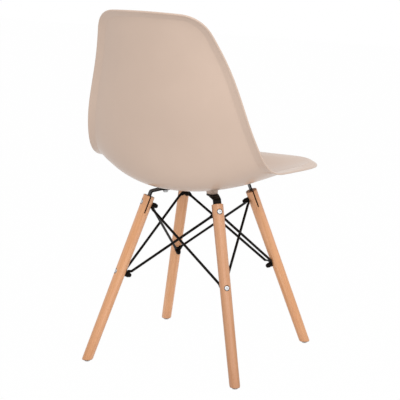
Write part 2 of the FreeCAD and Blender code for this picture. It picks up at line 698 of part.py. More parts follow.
def rod_end(hole, facing, heading, knee, rod_direction):
    wide = facing.cross(heading)
    half_tab = TAB_THICKNESS / 2.0
    eye = Part.makeCylinder(TAB_WIDTH / 2.0, TAB_THICKNESS, hole - facing * half_tab, facing)
    flat_end = hole + heading * TAB_FLAT_LENGTH
    corners = [hole + wide * (TAB_WIDTH / 2.0), flat_end + wide * (TAB_NECK_WIDTH / 2.0),
               flat_end - wide * (TAB_NECK_WIDTH / 2.0), hole - wide * (TAB_WIDTH / 2.0)]
    corners = [corner - facing * half_tab for corner in corners]
    flat = Part.Face(Part.makePolygon(corners + [corners[0]])).extrude(facing * TAB_THICKNESS)
    tab = eye.fuse(flat)
    hole_tool = Part.makeCylinder(BOLT_HOLE_DIAMETER / 2.0, 2.0 * TAB_THICKNESS, hole - facing * TAB_THICKNESS, facing)
    start = ring_wire(flat_end, heading, wide, TAB_NECK_WIDTH / 2.0, half_tab, False)
    rod_wide = in_plane(wide, rod_direction)
    end = ring_wire(knee, rod_direction, rod_wide, ROD_DIAMETER / 2.0, ROD_DIAMETER / 2.0, True)
    neck = Part.makeLoft([start, end], True, True)
    return tab.cut(hole_tool).fuse(neck)


# The lower tabs hang a little, turned downwards on their bolts

def sagging(heading, facing):
    sideways = facing.cross(heading)
    if sideways.z > 0:
        sideways = sideways * -1.0
    sag = math.radians(TAB_SAG_DEG)
    return heading * math.cos(sag) + sideways * math.sin(sag)


def brace_rod(high_angle, low_angle, layer):
    high_hole, high_facing = tab_seat(UPPER_BOLT_DROP, layer, high_angle)
    low_hole, low_facing = tab_seat(LOWER_BOLT_DROP, layer, low_angle)
    span = Vec(low_hole - high_hole).normalize()
    high_heading = in_plane(span, high_facing)
    low_heading = sagging(in_plane(span * -1.0, low_facing), low_facing)
    rise = TAB_NECK_RISE + layer * inner_rod_joggle(high_facing, low_facing, span)
    high_knee = high_hole + high_heading * TAB_REACH + high_facing * rise
    low_knee = low_hole + low_heading * TAB_REACH + low_facing * rise
    direction = Vec(low_knee - high_knee).normalize()
    rod = Part.makeCylinder(ROD_DIAMETER / 2.0, (low_knee - high_knee).Length, high_knee, direction)
    rod = rod.fuse(rod_end(high_hole, high_facing, high_heading, high_knee, direction))
    return rod.fuse(rod_end(low_hole, low_facing, low_heading, low_knee, direction * -1.0))


# The inner rod of a crossing pair steps inwards so that it just clears the outer rod

def inner_rod_joggle(high_facing, low_facing, span):
    across = Vec(high_facing + low_facing)
    level = Vec(high_facing - low_facing)
    level.z = 0.0
    level.normalize()
    mirrored_span = span - level * (2.0 * span.dot(level))
    apart = span.cross(mirrored_span).normalize()
    gain = abs(across.dot(apart)) / 2.0
    return (ROD_DIAMETER + ROD_CROSSING_GAP) / gain - TAB_THICKNESS - TAB_STANDOFF


# Glides and their nails, under the middle of each foot

def foot_centre():
    drop = LEG_TOP_HEIGHT - GLIDE_HEIGHT
    return LEG_TOP_RADIUS + drop * math.tan(math.radians(LEG_SPLAY_DEG))


def nail_pilot():
    radius = NAIL_DIAMETER / 2.0 + NAIL_CLEARANCE
    depth = NAIL_HEAD_SINK + NAIL_LENGTH + NAIL_TIP_GAP - GLIDE_HEIGHT
    return Part.makeCylinder(radius, depth, Vec(foot_centre(), 0, GLIDE_HEIGHT))


def glide():
    puck = Part.makeCone(GLIDE_FACE_DIAMETER / 2.0, GLIDE_DIAMETER / 2.0, GLIDE_HEIGHT)
    recess = Part.makeCylinder(NAIL_HEAD_DIAMETER / 2.0 + NAIL_CLEARANCE, GLIDE_RECESS_DEPTH)
    passage = Part.makeCylinder(NAIL_DIAMETER / 2.0 + NAIL_CLEARANCE, GLIDE_HEIGHT)
    puck = puck.cut(recess).cut(passage)
    puck.translate(Vec(foot_centre(), 0, 0))
    return puck


def glide_nail():
    start = Vec(0, 0, NAIL_HEAD_SINK)
    head = Part.makeCylinder(NAIL_HEAD_DIAMETER / 2.0, NAIL_HEAD_HEIGHT, start)
    shank = Part.makeCylinder(NAIL_DIAMETER / 2.0, NAIL_LENGTH, start)
    nail = head.fuse(shank)
    nail.translate(Vec(foot_centre(), 0, 0))
    return nail


def all_parts():
    parts = {"seat_shell": seat_shell()}
    for name, angle in CORNERS:
        bracket_rise, bend_rise = bracket_rises(name)
        face = LEG_TOP_HEIGHT + bracket_rise
        parts["threaded_insert_" + name] = turned(threaded_insert(face), angle)
        parts["seat_bolt_" + name] = turned(seat_bolt(face), angle)
        parts["seat_washer_" + name] = turned(seat_washer(face), angle)
        parts["bracket_" + name] = turned(bracket(face, bend_rise), angle)
        parts["glide_" + name] = turned(glide(), angle)
        parts["glide_nail_" + name] = turned(glide_nail(), angle)
        parts["leg_" + name] = leg(angle)
        for level, drop in (("upper", UPPER_BOLT_DROP), ("lower", LOWER_BOLT_DROP)):
            parts["leg_bolt_" + level + "_" + name] = leg_bolt(drop, angle)
            parts["cap_nut_" + level + "_" + name] = cap_nut(drop, angle)
    for index, side in enumerate(SIDES):
        first_name, first_angle = CORNERS[index]
        second_name, second_angle = CORNERS[(index + 1) % 4]
        parts["brace_rod_" + side + "_from_" + first_name] = brace_rod(first_angle, second_angle, 0)
        parts["brace_rod_" + side + "_from_" + second_name] = brace_rod(second_angle, first_angle, 1)
    return parts


def write_parts():
    parts = all_parts()
    box = FreeCAD.BoundBox()
    for shape in parts.values():
        box.add(shape.optimalBoundingBox(False))
    os.makedirs("parts", exist_ok=True)
    for name, shape in parts.items():
        shape.translate(Vec(0, -box.Center.y, 0))
        shape.exportStep("parts/" + name + ".step")
        print(name, "valid" if shape.isValid() else "NOT VALID", len(shape.Solids), round(shape.Volume, 1))
    print("size", round(box.XLength, 2), round(box.YLength, 2), round(box.ZLength, 2))
    print("moved along Y by", round(-box.Center.y, 3), "lowest", round(box.ZMin, 4))


write_parts()
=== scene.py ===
# %% [markdown]
# # A moulded shell chair
#
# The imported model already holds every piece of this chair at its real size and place. This script
# gives the pieces their looks. It loads the model as a fixed frame, builds each visible piece again
# as a finer mesh in the same place, gives every piece a material that behaves like the real one,
# and sets up a plain studio.

import math

import bmesh
import bpy
from mathutils import Matrix, Vector


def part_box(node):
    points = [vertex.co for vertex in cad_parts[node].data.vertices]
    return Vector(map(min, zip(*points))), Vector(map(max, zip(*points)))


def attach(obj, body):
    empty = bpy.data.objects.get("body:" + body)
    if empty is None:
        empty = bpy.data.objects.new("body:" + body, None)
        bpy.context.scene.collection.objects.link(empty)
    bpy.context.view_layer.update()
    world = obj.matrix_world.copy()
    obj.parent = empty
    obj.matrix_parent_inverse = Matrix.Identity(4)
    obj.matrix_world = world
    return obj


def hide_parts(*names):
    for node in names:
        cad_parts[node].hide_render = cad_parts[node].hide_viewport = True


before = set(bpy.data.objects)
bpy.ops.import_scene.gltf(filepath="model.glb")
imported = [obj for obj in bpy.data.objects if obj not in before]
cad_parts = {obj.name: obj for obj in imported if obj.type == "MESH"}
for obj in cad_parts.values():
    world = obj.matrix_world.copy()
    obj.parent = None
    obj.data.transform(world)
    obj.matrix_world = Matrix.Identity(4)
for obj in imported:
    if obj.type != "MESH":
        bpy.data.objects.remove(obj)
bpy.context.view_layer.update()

# %% [markdown]
# ## Lengths and colours
#
# A maker thinks of a chair in millimetres and Blender counts in metres, so one small function turns
# one into the other. Colours are written as a designer writes them, in hexadecimal for a screen,
# and a second function turns them into the linear light that materials work in.

# %% Two small converters
def mm(*lengths):
    """Millimetres to metres: one number for one length, a vector for three."""
    if len(lengths) == 1:
        return lengths[0] / 1000.0
    return Vector(lengths) / 1000.0


def colour(hexadecimal):
    """A screen colour such as "C8A27C" as linear red, green, blue and alpha."""
    shares = [int(hexadecimal[i:i + 2], 16) / 255.0 for i in (0, 2, 4)]
    linear = [s / 12.92 if s <= 0.04045 else ((s + 0.055) / 1.055) ** 2.4 for s in shares]
    return (*linear, 1.0)


print("a middle grey is", [round(part, 3) for part in colour("808080")])

# %% [markdown]
# ## One function for every node
#
# Materials and Geometry Nodes are both trees of nodes. One function adds a node, sets its options,
# fills its inputs, either with a plain value or with a link from another node, and places the
# colours of a colour ramp. With it, a whole material reads from top to bottom like a recipe.

# %% Add a node with its settings and links
def add(tree, kind, inputs=None, stops=(), **options):
    """Adds one node.

    inputs maps a socket's name or number to a value, to another node's output, or to a node, which
    means that node's first output. stops are the (position, hexadecimal colour) pairs of a ramp.
    """
    made = tree.nodes.new(kind)
    for option, value in options.items():
        setattr(made, option, value)
    for socket, value in (inputs or {}).items():
        if isinstance(value, bpy.types.Node):
            value = value.outputs[0]
        if isinstance(value, bpy.types.NodeSocket):
            tree.links.new(value, made.inputs[socket])
        else:
            made.inputs[socket].default_value = value
    if stops:
        elements = made.color_ramp.elements
        while len(elements) < len(stops):
            elements.new(0.5)
        for element, (position, shade) in zip(elements, stops):
            element.position = position
            element.color = colour(shade)
    return made


def new_material(name):
    """An empty material and its node tree."""
    material = bpy.data.materials.new(name)
    material.use_nodes = True
    material.node_tree.nodes.clear()
    return material, material.node_tree


print("every tree is built with", add.__name__)

# %% [markdown]
# ## The shell's plastic
#
# The shell is injection-moulded polypropylene. The mould is finely etched, so the surface is satin:
# it has no mirror highlights, only a broad soft sheen that grows towards grazing angles. The etching
# gives tiny pits about 0.4 mm apart, drawn here at 0.8 mm so that they show. The colour goes
# right through the material and drifts very slightly where the melt has flowed.

# %% Satin polypropylene
SHELL_COLOUR = "CDB5A4"
SHELL_COLOUR_FLOW = "CBB3A2"
ETCHING_SPACING = mm(0.8)
FLOW_SPACING = mm(90)

satin_polypropylene, tree = new_material("satin_polypropylene")
place = add(tree, "ShaderNodeTexCoord").outputs["Object"]
flow = add(tree, "ShaderNodeTexNoise", {"Vector": place, "Scale": 1.0 / FLOW_SPACING, "Detail": 2.0})
tone = add(tree, "ShaderNodeValToRGB", {"Fac": flow}, [(0.35, SHELL_COLOUR_FLOW), (0.65, SHELL_COLOUR)])
etching = add(tree, "ShaderNodeTexNoise", {"Vector": place, "Scale": 1.0 / ETCHING_SPACING, "Detail": 2.0})
pits = add(tree, "ShaderNodeBump", {"Height": etching, "Strength": 0.03, "Distance": mm(0.2)})
sheen = add(tree, "ShaderNodeMapRange", {"Value": etching, "To Min": 0.26, "To Max": 0.32})
plastic = add(tree, "ShaderNodeBsdfPrincipled", {
    "Base Color": tone, "Roughness": sheen, "IOR": 1.52, "Normal": pits})
add(tree, "ShaderNodeOutputMaterial", {"Surface": plastic})
print("made", satin_polypropylene.name)

# %% [markdown]
# ## The legs' wood
#
# The legs are turned beech under a thin clear lacquer. Beech is pale and even, with a faint straight
# grain along the leg, a slow change of tone across it from the yearly rings, and short dark flecks
# a few millimetres long, which are its rays seen edge on. Every pattern reads a position measured
# along and across each leg, stored on the mesh, so the grain runs with the leg. Each leg is sawn
# from its own board, so the pattern is shifted from one leg to the next.

# %% Lacquered beech: grain, rings and flecks
GRAIN_WIDTH = mm(1.6)
GRAIN_LENGTH = mm(90)
RING_SPACING = mm(9)
RING_LENGTH = GRAIN_LENGTH * 3
FLECK_WIDTH = mm(0.7)
FLECK_LENGTH = mm(4.5)
BOARD_SHIFT = 0.43

lacquered_beech, tree = new_material("lacquered_beech")
leg_space = add(tree, "ShaderNodeAttribute", attribute_name="leg_space").outputs["Vector"]
which_leg = add(tree, "ShaderNodeAttribute", attribute_name="which_copy").outputs["Fac"]
board_shift = add(tree, "ShaderNodeMath", {0: which_leg, 1: BOARD_SHIFT}, operation="MULTIPLY")
board_place = add(tree, "ShaderNodeVectorMath", {0: leg_space, 1: board_shift}, operation="ADD")
patterns = []
for across, along, detail in ((GRAIN_WIDTH, GRAIN_LENGTH, 3.0), (RING_SPACING, RING_LENGTH, 2.0),
                              (FLECK_WIDTH, FLECK_LENGTH, 1.0)):
    drawn_out = add(tree, "ShaderNodeMapping", {
        "Vector": board_place, "Scale": (1 / across, 1 / across, 1 / along)})
    patterns.append(add(tree, "ShaderNodeTexNoise", {"Vector": drawn_out, "Scale": 1.0, "Detail": detail}))
grain, rings, flecks = patterns
wood_tone = add(tree, "ShaderNodeValToRGB", {"Fac": rings}, [
    (0.3, "EAAD7A"), (0.5, "F2B788"), (0.7, "F7BD92")])
grain_tone = add(tree, "ShaderNodeValToRGB", {"Fac": grain}, [(0.3, "F2E6DC"), (0.6, "FFFFFF")])
fleck_tone = add(tree, "ShaderNodeValToRGB", {"Fac": flecks}, [(0.66, "FFFFFF"), (0.74, "E6CDB8")])
print("drew", len(patterns), "patterns of", lacquered_beech.name)

# %% [markdown]
# No two boards have the same tone, and a board is seldom quite even along its length. So each leg has one
# tone at its top and another at its foot, which blend on the way down. These tones are partly the boards' own
# and partly painted light: they make lighter the legs and the parts of legs that the lamps leave in shade,
# and darker those that the lamps light most. All the tones are multiplied, as if each were a transparent
# layer over the last.

# %% Lacquered beech: a tone for each board, with painted light
LEG_AXIS_LENGTH = mm(412.4)
# Painted light as well as board tone: the front left leg, which the lamps leave most in shade, has the
# lightest tones and the rear right leg, which they light most, the darkest; each foot is darker than its top
# to offset the shade the shell casts on the leg tops
LEG_TOP_TONES_AND_PAINTED_LIGHT = ["FFFFFF", "F4F5F7", "DCDADA", "F6F5F3"]
LEG_FOOT_TONES_AND_PAINTED_LIGHT = ["FDFDFD", "E5E0DA", "CBC4C0", "EBE7E0"]

leg_share = add(tree, "ShaderNodeMath", {0: which_leg, 1: 1.0 / len(LEG_TOP_TONES_AND_PAINTED_LIGHT)}, operation="MULTIPLY")
top_tone_and_light, foot_tone_and_light = [
    add(tree, "ShaderNodeValToRGB", {"Fac": leg_share}, [
        (leg / len(tones), tone) for leg, tone in enumerate(tones)])
    for tones in (LEG_TOP_TONES_AND_PAINTED_LIGHT, LEG_FOOT_TONES_AND_PAINTED_LIGHT)]
split = add(tree, "ShaderNodeSeparateXYZ", {0: leg_space}).outputs
way_down = add(tree, "ShaderNodeMapRange", {
    "Value": split["Z"], "From Min": 0.0, "From Max": -LEG_AXIS_LENGTH})
board_tone_and_painted_light = add(tree, "ShaderNodeMix", {0: way_down, 6: top_tone_and_light, 7: foot_tone_and_light}, data_type="RGBA").outputs[2]
for layer in (grain_tone, fleck_tone, board_tone_and_painted_light):
    wood_tone = add(tree, "ShaderNodeMix", {0: 1.0, 6: wood_tone, 7: layer},
                    data_type="RGBA", blend_type="MULTIPLY").outputs[2]
print("toned", len(LEG_TOP_TONES_AND_PAINTED_LIGHT), "boards")

# %% [markdown]
# End grain soaks up more lacquer and looks darker. The walls of the holes, counterbores and slot are darker
# still: partly bare cut wood, and partly painted shade in these recesses. Both are found from the position:
# the end grain by how near the top it lies, and a cut by how far it lies inside the leg's own radius at that
# height, which follows the taper.

# %% Lacquered beech: end grain, and cuts with painted shade
LEG_RADII_AT_ENDS = (mm(11.9), mm(13.3))
CUT_AND_SHADE_DEPTHS = (mm(0.25), mm(0.6))
END_GRAIN_DEPTHS = (mm(0.5), mm(0.1))
# Painted shade: this dark brown on the walls of holes, counterbores and slot is partly bare cut wood and
# partly shade painted into these recesses
CUT_WOOD_AND_SHADE_COLOUR = "7E5233"
END_GRAIN_COLOUR = "B88257"

across_only = add(tree, "ShaderNodeCombineXYZ", {"X": split["X"], "Y": split["Y"]})
from_axis = add(tree, "ShaderNodeVectorMath", {0: across_only}, operation="LENGTH").outputs["Value"]
radius_here = add(tree, "ShaderNodeMapRange", {
    "Value": split["Z"], "From Min": -LEG_AXIS_LENGTH, "From Max": 0.0,
    "To Min": LEG_RADII_AT_ENDS[0], "To Max": LEG_RADII_AT_ENDS[1]})
inside = add(tree, "ShaderNodeMath", {0: radius_here, 1: from_axis}, operation="SUBTRACT")
cut_and_shade_share = add(tree, "ShaderNodeMapRange", {
    "Value": inside, "From Min": CUT_AND_SHADE_DEPTHS[0], "From Max": CUT_AND_SHADE_DEPTHS[1]})
is_end = add(tree, "ShaderNodeMapRange", {
    "Value": split["Z"], "From Min": -END_GRAIN_DEPTHS[0], "From Max": -END_GRAIN_DEPTHS[1]})
for share, shade in ((cut_and_shade_share, CUT_WOOD_AND_SHADE_COLOUR), (is_end, END_GRAIN_COLOUR)):
    wood_tone = add(tree, "ShaderNodeMix", {0: share, 6: wood_tone, 7: colour(shade)},
                    data_type="RGBA").outputs[2]
pores = add(tree, "ShaderNodeBump", {"Height": grain, "Strength": 0.15, "Distance": mm(0.2)})
wood = add(tree, "ShaderNodeBsdfPrincipled", {
    "Base Color": wood_tone, "Roughness": 0.42, "IOR": 1.5, "Coat Weight": 0.25, "Coat Roughness": 0.3,
    "Normal": pores})
add(tree, "ShaderNodeOutputMaterial", {"Surface": wood})
print("made", lacquered_beech.name)

# %% [markdown]
# ## The black metalwork
#
# The brackets, rods and cap nuts are steel with a black stove enamel. Enamel flows as it is baked,
# which leaves a faint orange peel a couple of millimetres across. The photograph shows it almost
# black even against a white room, so it reflects less than a bare plastic would, and its specular
# level is set low.

# %% Black stove enamel
ORANGE_PEEL_SPACING = mm(2.2)

black_enamel, tree = new_material("black_enamel")
place = add(tree, "ShaderNodeTexCoord").outputs["Object"]
peel = add(tree, "ShaderNodeTexNoise", {"Vector": place, "Scale": 1.0 / ORANGE_PEEL_SPACING, "Detail": 1.0})
tone = add(tree, "ShaderNodeValToRGB", {"Fac": peel}, [(0.3, "120E0B"), (0.7, "17120F")])
ripple = add(tree, "ShaderNodeBump", {"Height": peel, "Strength": 0.1, "Distance": mm(0.1)})
gloss = add(tree, "ShaderNodeMapRange", {"Value": peel, "To Min": 0.24, "To Max": 0.34})
enamel = add(tree, "ShaderNodeBsdfPrincipled", {
    "Base Color": tone, "Roughness": gloss, "IOR": 1.52, "Specular IOR Level": 0.06, "Normal": ripple})
add(tree, "ShaderNodeOutputMaterial", {"Surface": enamel})
print("made", black_enamel.name)

# %% [markdown]
# ## Bright zinc, brass and the grey glides
#
# The bolts, washers and nails are zinc-plated steel, a cool bright metal with a fine cloudy
# variation. The inserts are turned brass. The glides are natural polyethylene, a pale waxy
# plastic that lets a little light in.

# %% Zinc plate, brass and polyethylene
POLISH_DRIFT = 0.05
SCUFF_SPACING = mm(3)
SCATTER_DEPTH = mm(3)


def plated_metal(name, dark, light, roughness, cloud_size):
    """A metal whose colour and polish vary slightly in soft clouds."""
    material, tree = new_material(name)
    place = add(tree, "ShaderNodeTexCoord").outputs["Object"]
    clouds = add(tree, "ShaderNodeTexNoise", {"Vector": place, "Scale": 1.0 / cloud_size, "Detail": 3.0})
    tone = add(tree, "ShaderNodeValToRGB", {"Fac": clouds}, [(0.3, dark), (0.7, light)])
    polish = add(tree, "ShaderNodeMapRange", {
        "Value": clouds, "To Min": roughness - POLISH_DRIFT, "To Max": roughness + POLISH_DRIFT})
    metal = add(tree, "ShaderNodeBsdfPrincipled", {"Base Color": tone, "Metallic": 1.0, "Roughness": polish})
    add(tree, "ShaderNodeOutputMaterial", {"Surface": metal})
    print("made", material.name)
    return material


zinc_plate = plated_metal("zinc_plate", "B4B5B6", "C6C7C9", 0.34, mm(2))
turned_brass = plated_metal("turned_brass", "B99A55", "D2B56E", 0.3, mm(1))

polyethylene, tree = new_material("polyethylene")
place = add(tree, "ShaderNodeTexCoord").outputs["Object"]
scuffs = add(tree, "ShaderNodeTexNoise", {"Vector": place, "Scale": 1.0 / SCUFF_SPACING, "Detail": 3.0})
tone = add(tree, "ShaderNodeValToRGB", {"Fac": scuffs}, [(0.35, "C9C6C3"), (0.65, "D6D3D0")])
waxy = add(tree, "ShaderNodeBsdfPrincipled", {
    "Base Color": tone, "Roughness": 0.45, "IOR": 1.51,
    "Subsurface Weight": 0.2, "Subsurface Radius": (SCATTER_DEPTH,) * 3})
add(tree, "ShaderNodeOutputMaterial", {"Surface": waxy})
print("made", polyethylene.name)

# %% [markdown]
# ## Meshes from points
#
# Every piece below ends as a list of points and faces. These helpers make the mesh, join points
# that lie on each other, turn all faces outwards, and shade it smooth except across real edges.

# %% Make a mesh piece
WELD = mm(0.001)


def in_scene(name, data):
    """An object with this data, linked to the scene."""
    thing = bpy.data.objects.new(name, data)
    bpy.context.scene.collection.objects.link(thing)
    return thing


def soften(mesh, sharp_deg):
    """Shades a mesh smooth, except across edges that turn more than this."""
    mesh.shade_smooth()
    mesh.set_sharp_from_angle(angle=math.radians(sharp_deg))


def make_piece(name, points, faces, material=None, sharp_deg=38.0):
    """A mesh object at the origin with its place in its points, in metres."""
    mesh = bpy.data.meshes.new(name)
    mesh.from_pydata([tuple(point) for point in points], [], faces)
    shape = bmesh.new()
    shape.from_mesh(mesh)
    bmesh.ops.remove_doubles(shape, verts=shape.verts, dist=WELD)
    bmesh.ops.recalc_face_normals(shape, faces=shape.faces)
    shape.to_mesh(mesh)
    shape.free()
    soften(mesh, sharp_deg)
    if material:
        mesh.materials.append(material)
    return in_scene(name, mesh)


print("points within", WELD, "m of each other are joined")

# %% [markdown]
# Most shapes here are grids of points. One helper lays faces over a grid, and another spins a profile
# round an axis, as a lathe does. Edges that a maker would round are drawn as short arcs.

# %% Grids, turned shapes and round corners
def grid_faces(rows, columns, start=0, closed=False):
    """Quads over a grid of points, row by row; closed joins the last column to the first."""
    faces = []
    for row in range(rows - 1):
        for column in range(columns if closed else columns - 1):
            beside = (column + 1) % columns
            one = start + row * columns
            two = one + columns
            faces.append((one + column, one + beside, two + beside, two + column))
    return faces


def full_turn(count):
    """The angles of this many even steps round a circle."""
    return [2.0 * math.pi * step / count for step in range(count)]


def spun(profile, around=48, limit=None):
    """Points and faces of a turned shape from (radius, height) pairs in millimetres, with its axis up.

    limit tells the largest radius at an angle, for a shape that has flats.
    """
    points = []
    for radius, height in profile:
        for turn in full_turn(around):
            here = min(radius, limit(turn)) if limit else radius
            points.append(mm(here * math.cos(turn), here * math.sin(turn), height))
    return points, grid_faces(len(profile), around, closed=True)


def arc(centre, radius, start_deg, end_deg, steps):
    """Points on a round corner of a profile, as (radius, height) pairs."""
    turns = [math.radians(start_deg + (end_deg - start_deg) * step / steps) for step in range(steps + 1)]
    return [(centre[0] + radius * math.cos(turn), centre[1] + radius * math.sin(turn)) for turn in turns]


print("a quarter circle in 6 steps has", len(arc((0.0, 0.0), 1.0, 0, 90, 6)), "points")

# %% [markdown]
# ## The shell as a rule
#
# The shell follows one rule, so its mesh is worked out rather than sculpted. Stations run along it
# from the front edge of the seat to the top of the back. Each gives the centre line, the height and
# depth of the sides, the half width, and how late the side turns up. Smooth curves run through the
# stations, and a power law runs across from the centre to the side.

# %% The shell's stations
STATIONS = [
    (-244.9, 3.2, -218.1, 18.8, 183.3, 2.6),
    (-210.0, 16.0, -208.6, 15.7, 201.4, 2.6),
    (-109.0, -3.0, -114.6, 20.9, 220.8, 2.8),
    (0.0, -16.3, 12.9, 32.6, 223.2, 2.8),
    (87.0, -20.7, 70.1, 39.4, 220.2, 2.45),
    (166.0, -1.0, 112.2, 59.7, 215.0, 2.05),
    (194.0, 90.0, 145.4, 112.6, 204.3, 2.3),
    (215.0, 180.0, 165.4, 176.1, 188.3, 2.2),
    (236.0, 284.0, 188.4, 276.3, 158.2, 2.1),
    (268.9, 393.8, 241.2, 388.1, 119.8, 2.1),
]
MIDDLE_STATION = 3


def running_lengths(points):
    """The distance from the first point of a line to each of its points, by their first two numbers."""
    lengths = [0.0]
    for one, two in zip(points, points[1:]):
        lengths.append(lengths[-1] + math.hypot(two[0] - one[0], two[1] - one[1]))
    return lengths


along_shell = running_lengths(STATIONS)
SHELL_LENGTH = along_shell[-1]
print("the shell is", round(SHELL_LENGTH), "mm long from front edge to top edge, laid flat")

# %% [markdown]
# A cubic spline passes through every station and bends as little as it can between them, as a thin
# strip of wood does when a boat builder holds it with weights.

# %% Smooth curves through the stations
def smooth_curve(places, values):
    """A smooth curve through values, with no bend at its two ends."""
    count = len(places)
    gaps = [after - before for before, after in zip(places, places[1:])]
    bends = [0.0] * count
    weights = [0.0] * count
    for i in range(1, count - 1):
        slope_change = (values[i + 1] - values[i]) / gaps[i] - (values[i] - values[i - 1]) / gaps[i - 1]
        pivot = 2.0 * (gaps[i - 1] + gaps[i]) - gaps[i - 1] * weights[i - 1]
        weights[i] = gaps[i] / pivot
        bends[i] = (6.0 * slope_change - gaps[i - 1] * bends[i - 1]) / pivot
    for i in range(count - 2, 0, -1):
        bends[i] -= weights[i] * bends[i + 1]

    def value(place):
        i = 0
        while i < count - 2 and place > places[i + 1]:
            i += 1
        near = (places[i + 1] - place) / gaps[i]
        far = (place - places[i]) / gaps[i]
        curve = (near ** 3 - near) * bends[i] + (far ** 3 - far) * bends[i + 1]
        return near * values[i] + far * values[i + 1] + curve * gaps[i] ** 2 / 6.0

    return value


spine_back, spine_up, side_back, side_up, half_width, fullness = [
    smooth_curve(along_shell, column) for column in zip(*STATIONS)]
print("halfway along, the shell is", round(2.0 * half_width(SHELL_LENGTH / 2.0)), "mm wide")

# %% [markdown]
# ## A point on the wall
#
# Two numbers name any place on the shell: how far across from the centre line and how far along from
# the front edge. The front and top edges bow outwards a little, which the crowns add. The leg frame
# has its own centre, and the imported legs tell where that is.

# %% Points and normals of the wall
LEG_TOP_HEIGHT = 385.0
SEAT_RISE = 50.0
FRONT_EDGE_CROWN = 8.0
TOP_EDGE_CROWN = 1.0
SLOPE_STEP = 0.5

front_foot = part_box("leg_front_left")[0]
rear_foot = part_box("leg_rear_left")[1]
base_centre_y = 1000.0 * (front_foot.y + rear_foot.y) / 2.0
seat_level = LEG_TOP_HEIGHT + SEAT_RISE


def wall_point(across, along):
    """The middle of the wall, in millimetres, before the rim is flared."""
    front_share = 1.0 - along / SHELL_LENGTH
    front_bow = FRONT_EDGE_CROWN * (across / half_width(0.0)) ** 2
    top_bow = TOP_EDGE_CROWN * (across / half_width(SHELL_LENGTH)) ** 2
    place = along + front_bow * front_share - top_bow * (1.0 - front_share)
    lift = (abs(across) / half_width(place)) ** fullness(place)
    back = spine_back(place) + (side_back(place) - spine_back(place)) * lift
    up = spine_up(place) + (side_up(place) - spine_up(place)) * lift
    return Vector((across, back + base_centre_y, seat_level + up))


def wall_normal(across, along):
    """The direction towards the sitter."""
    sideways = wall_point(across + SLOPE_STEP, along) - wall_point(across - SLOPE_STEP, along)
    lengthways = wall_point(across, along + SLOPE_STEP) - wall_point(across, along - SLOPE_STEP)
    return sideways.cross(lengthways).normalized()


print("the leg frame's centre lies", round(base_centre_y, 2), "mm from the origin along Y")

# %% [markdown]
# ## The shell's outline
#
# Laid flat, the shell has a straight front, a straight top, curved sides and four soft corners. The
# corners are parabolic curves that leave the sides and the ends smoothly.

# %% Soft corners and even spacing
FRONT_CORNER_REACH = 87.0
TOP_CORNER_REACH = 42.0
ROWS_ALONG = 100
COLUMNS_ACROSS = 44
OUTLINE_STEPS = 120


def corner_curve(side_along, end_along, reach):
    """A soft corner, from a place on the side to a place this far in along the end."""
    side_x = half_width(side_along)
    slope = (half_width(side_along + SLOPE_STEP) - half_width(side_along - SLOPE_STEP)) / (2.0 * SLOPE_STEP)
    tip_x = side_x + slope * (end_along - side_along)
    points = []
    for step in range(OUTLINE_STEPS + 1):
        t = step / OUTLINE_STEPS
        x = (1 - t) ** 2 * side_x + 2 * t * (1 - t) * tip_x + t ** 2 * (tip_x - reach)
        y = (1 - t) ** 2 * side_along + (2 * t * (1 - t) + t ** 2) * end_along
        points.append((x, y))
    return points


def place_along(lengths, distance):
    """The step of a line in which this distance falls, and how far through that step it falls."""
    k = 0
    while k < len(lengths) - 2 and lengths[k + 1] < distance:
        k += 1
    return k, (distance - lengths[k]) / (lengths[k + 1] - lengths[k])


def evenly(points, count):
    """count points spaced evenly along a line of points."""
    lengths = running_lengths(points)
    picked = []
    for index in range(count):
        k, share = place_along(lengths, lengths[-1] * index / (count - 1))
        picked.append(tuple(a + (b - a) * share for a, b in zip(points[k], points[k + 1])))
    return picked


def mirrored(points):
    """The same line on the chair's other side, in the order that carries it on."""
    return [(-x, y) for x, y in reversed(points)]


print("the corners reach", FRONT_CORNER_REACH, "mm in at the front and", TOP_CORNER_REACH, "mm at the top")

# %% [markdown]
# The rim is four lines: two sides and two ends, which meet in the middle of each corner. Even points
# on each line make even faces.

# %% The rim laid flat
top_start = SHELL_LENGTH - TOP_CORNER_REACH
top_corner = corner_curve(top_start, SHELL_LENGTH, TOP_CORNER_REACH)
front_corner = corner_curve(FRONT_CORNER_REACH, 0.0, FRONT_CORNER_REACH)
middle = OUTLINE_STEPS // 2
side_steps = 4 * OUTLINE_STEPS
side_alongs = [FRONT_CORNER_REACH + (top_start - FRONT_CORNER_REACH) * step / side_steps
               for step in range(1, side_steps)]
side_line = list(reversed(front_corner[:middle + 1])) + [(half_width(along), along) for along in side_alongs]
side_line += top_corner[:middle + 1]
right_rim = evenly(side_line, ROWS_ALONG)
top_rim = evenly(top_corner[middle:] + mirrored(top_corner[middle:]), COLUMNS_ACROSS)
front_rim = evenly(front_corner[middle:] + mirrored(front_corner[middle:]), COLUMNS_ACROSS)
print("the rim has", 2 * (ROWS_ALONG + COLUMNS_ACROSS) - 4, "points")

# %% [markdown]
# ## The flared rim
#
# Near the rim the wall turns away from the sitter, which stiffens the edge and keeps it off the
# thighs. The photograph shows a crisp crease, a straight flange about 15 mm wide and a softly rolled
# edge. One function tells how far the wall is set back at a distance from the rim, and how steeply.

# %% The flare as a rule
FLARE_WIDTH = 17.0
FLARE_SLOPE = 0.55
FLARE_CREASE = 4.0
EDGE_ROLL_WIDTH = 6.0
EDGE_ROLL_DEPTH = 0.9


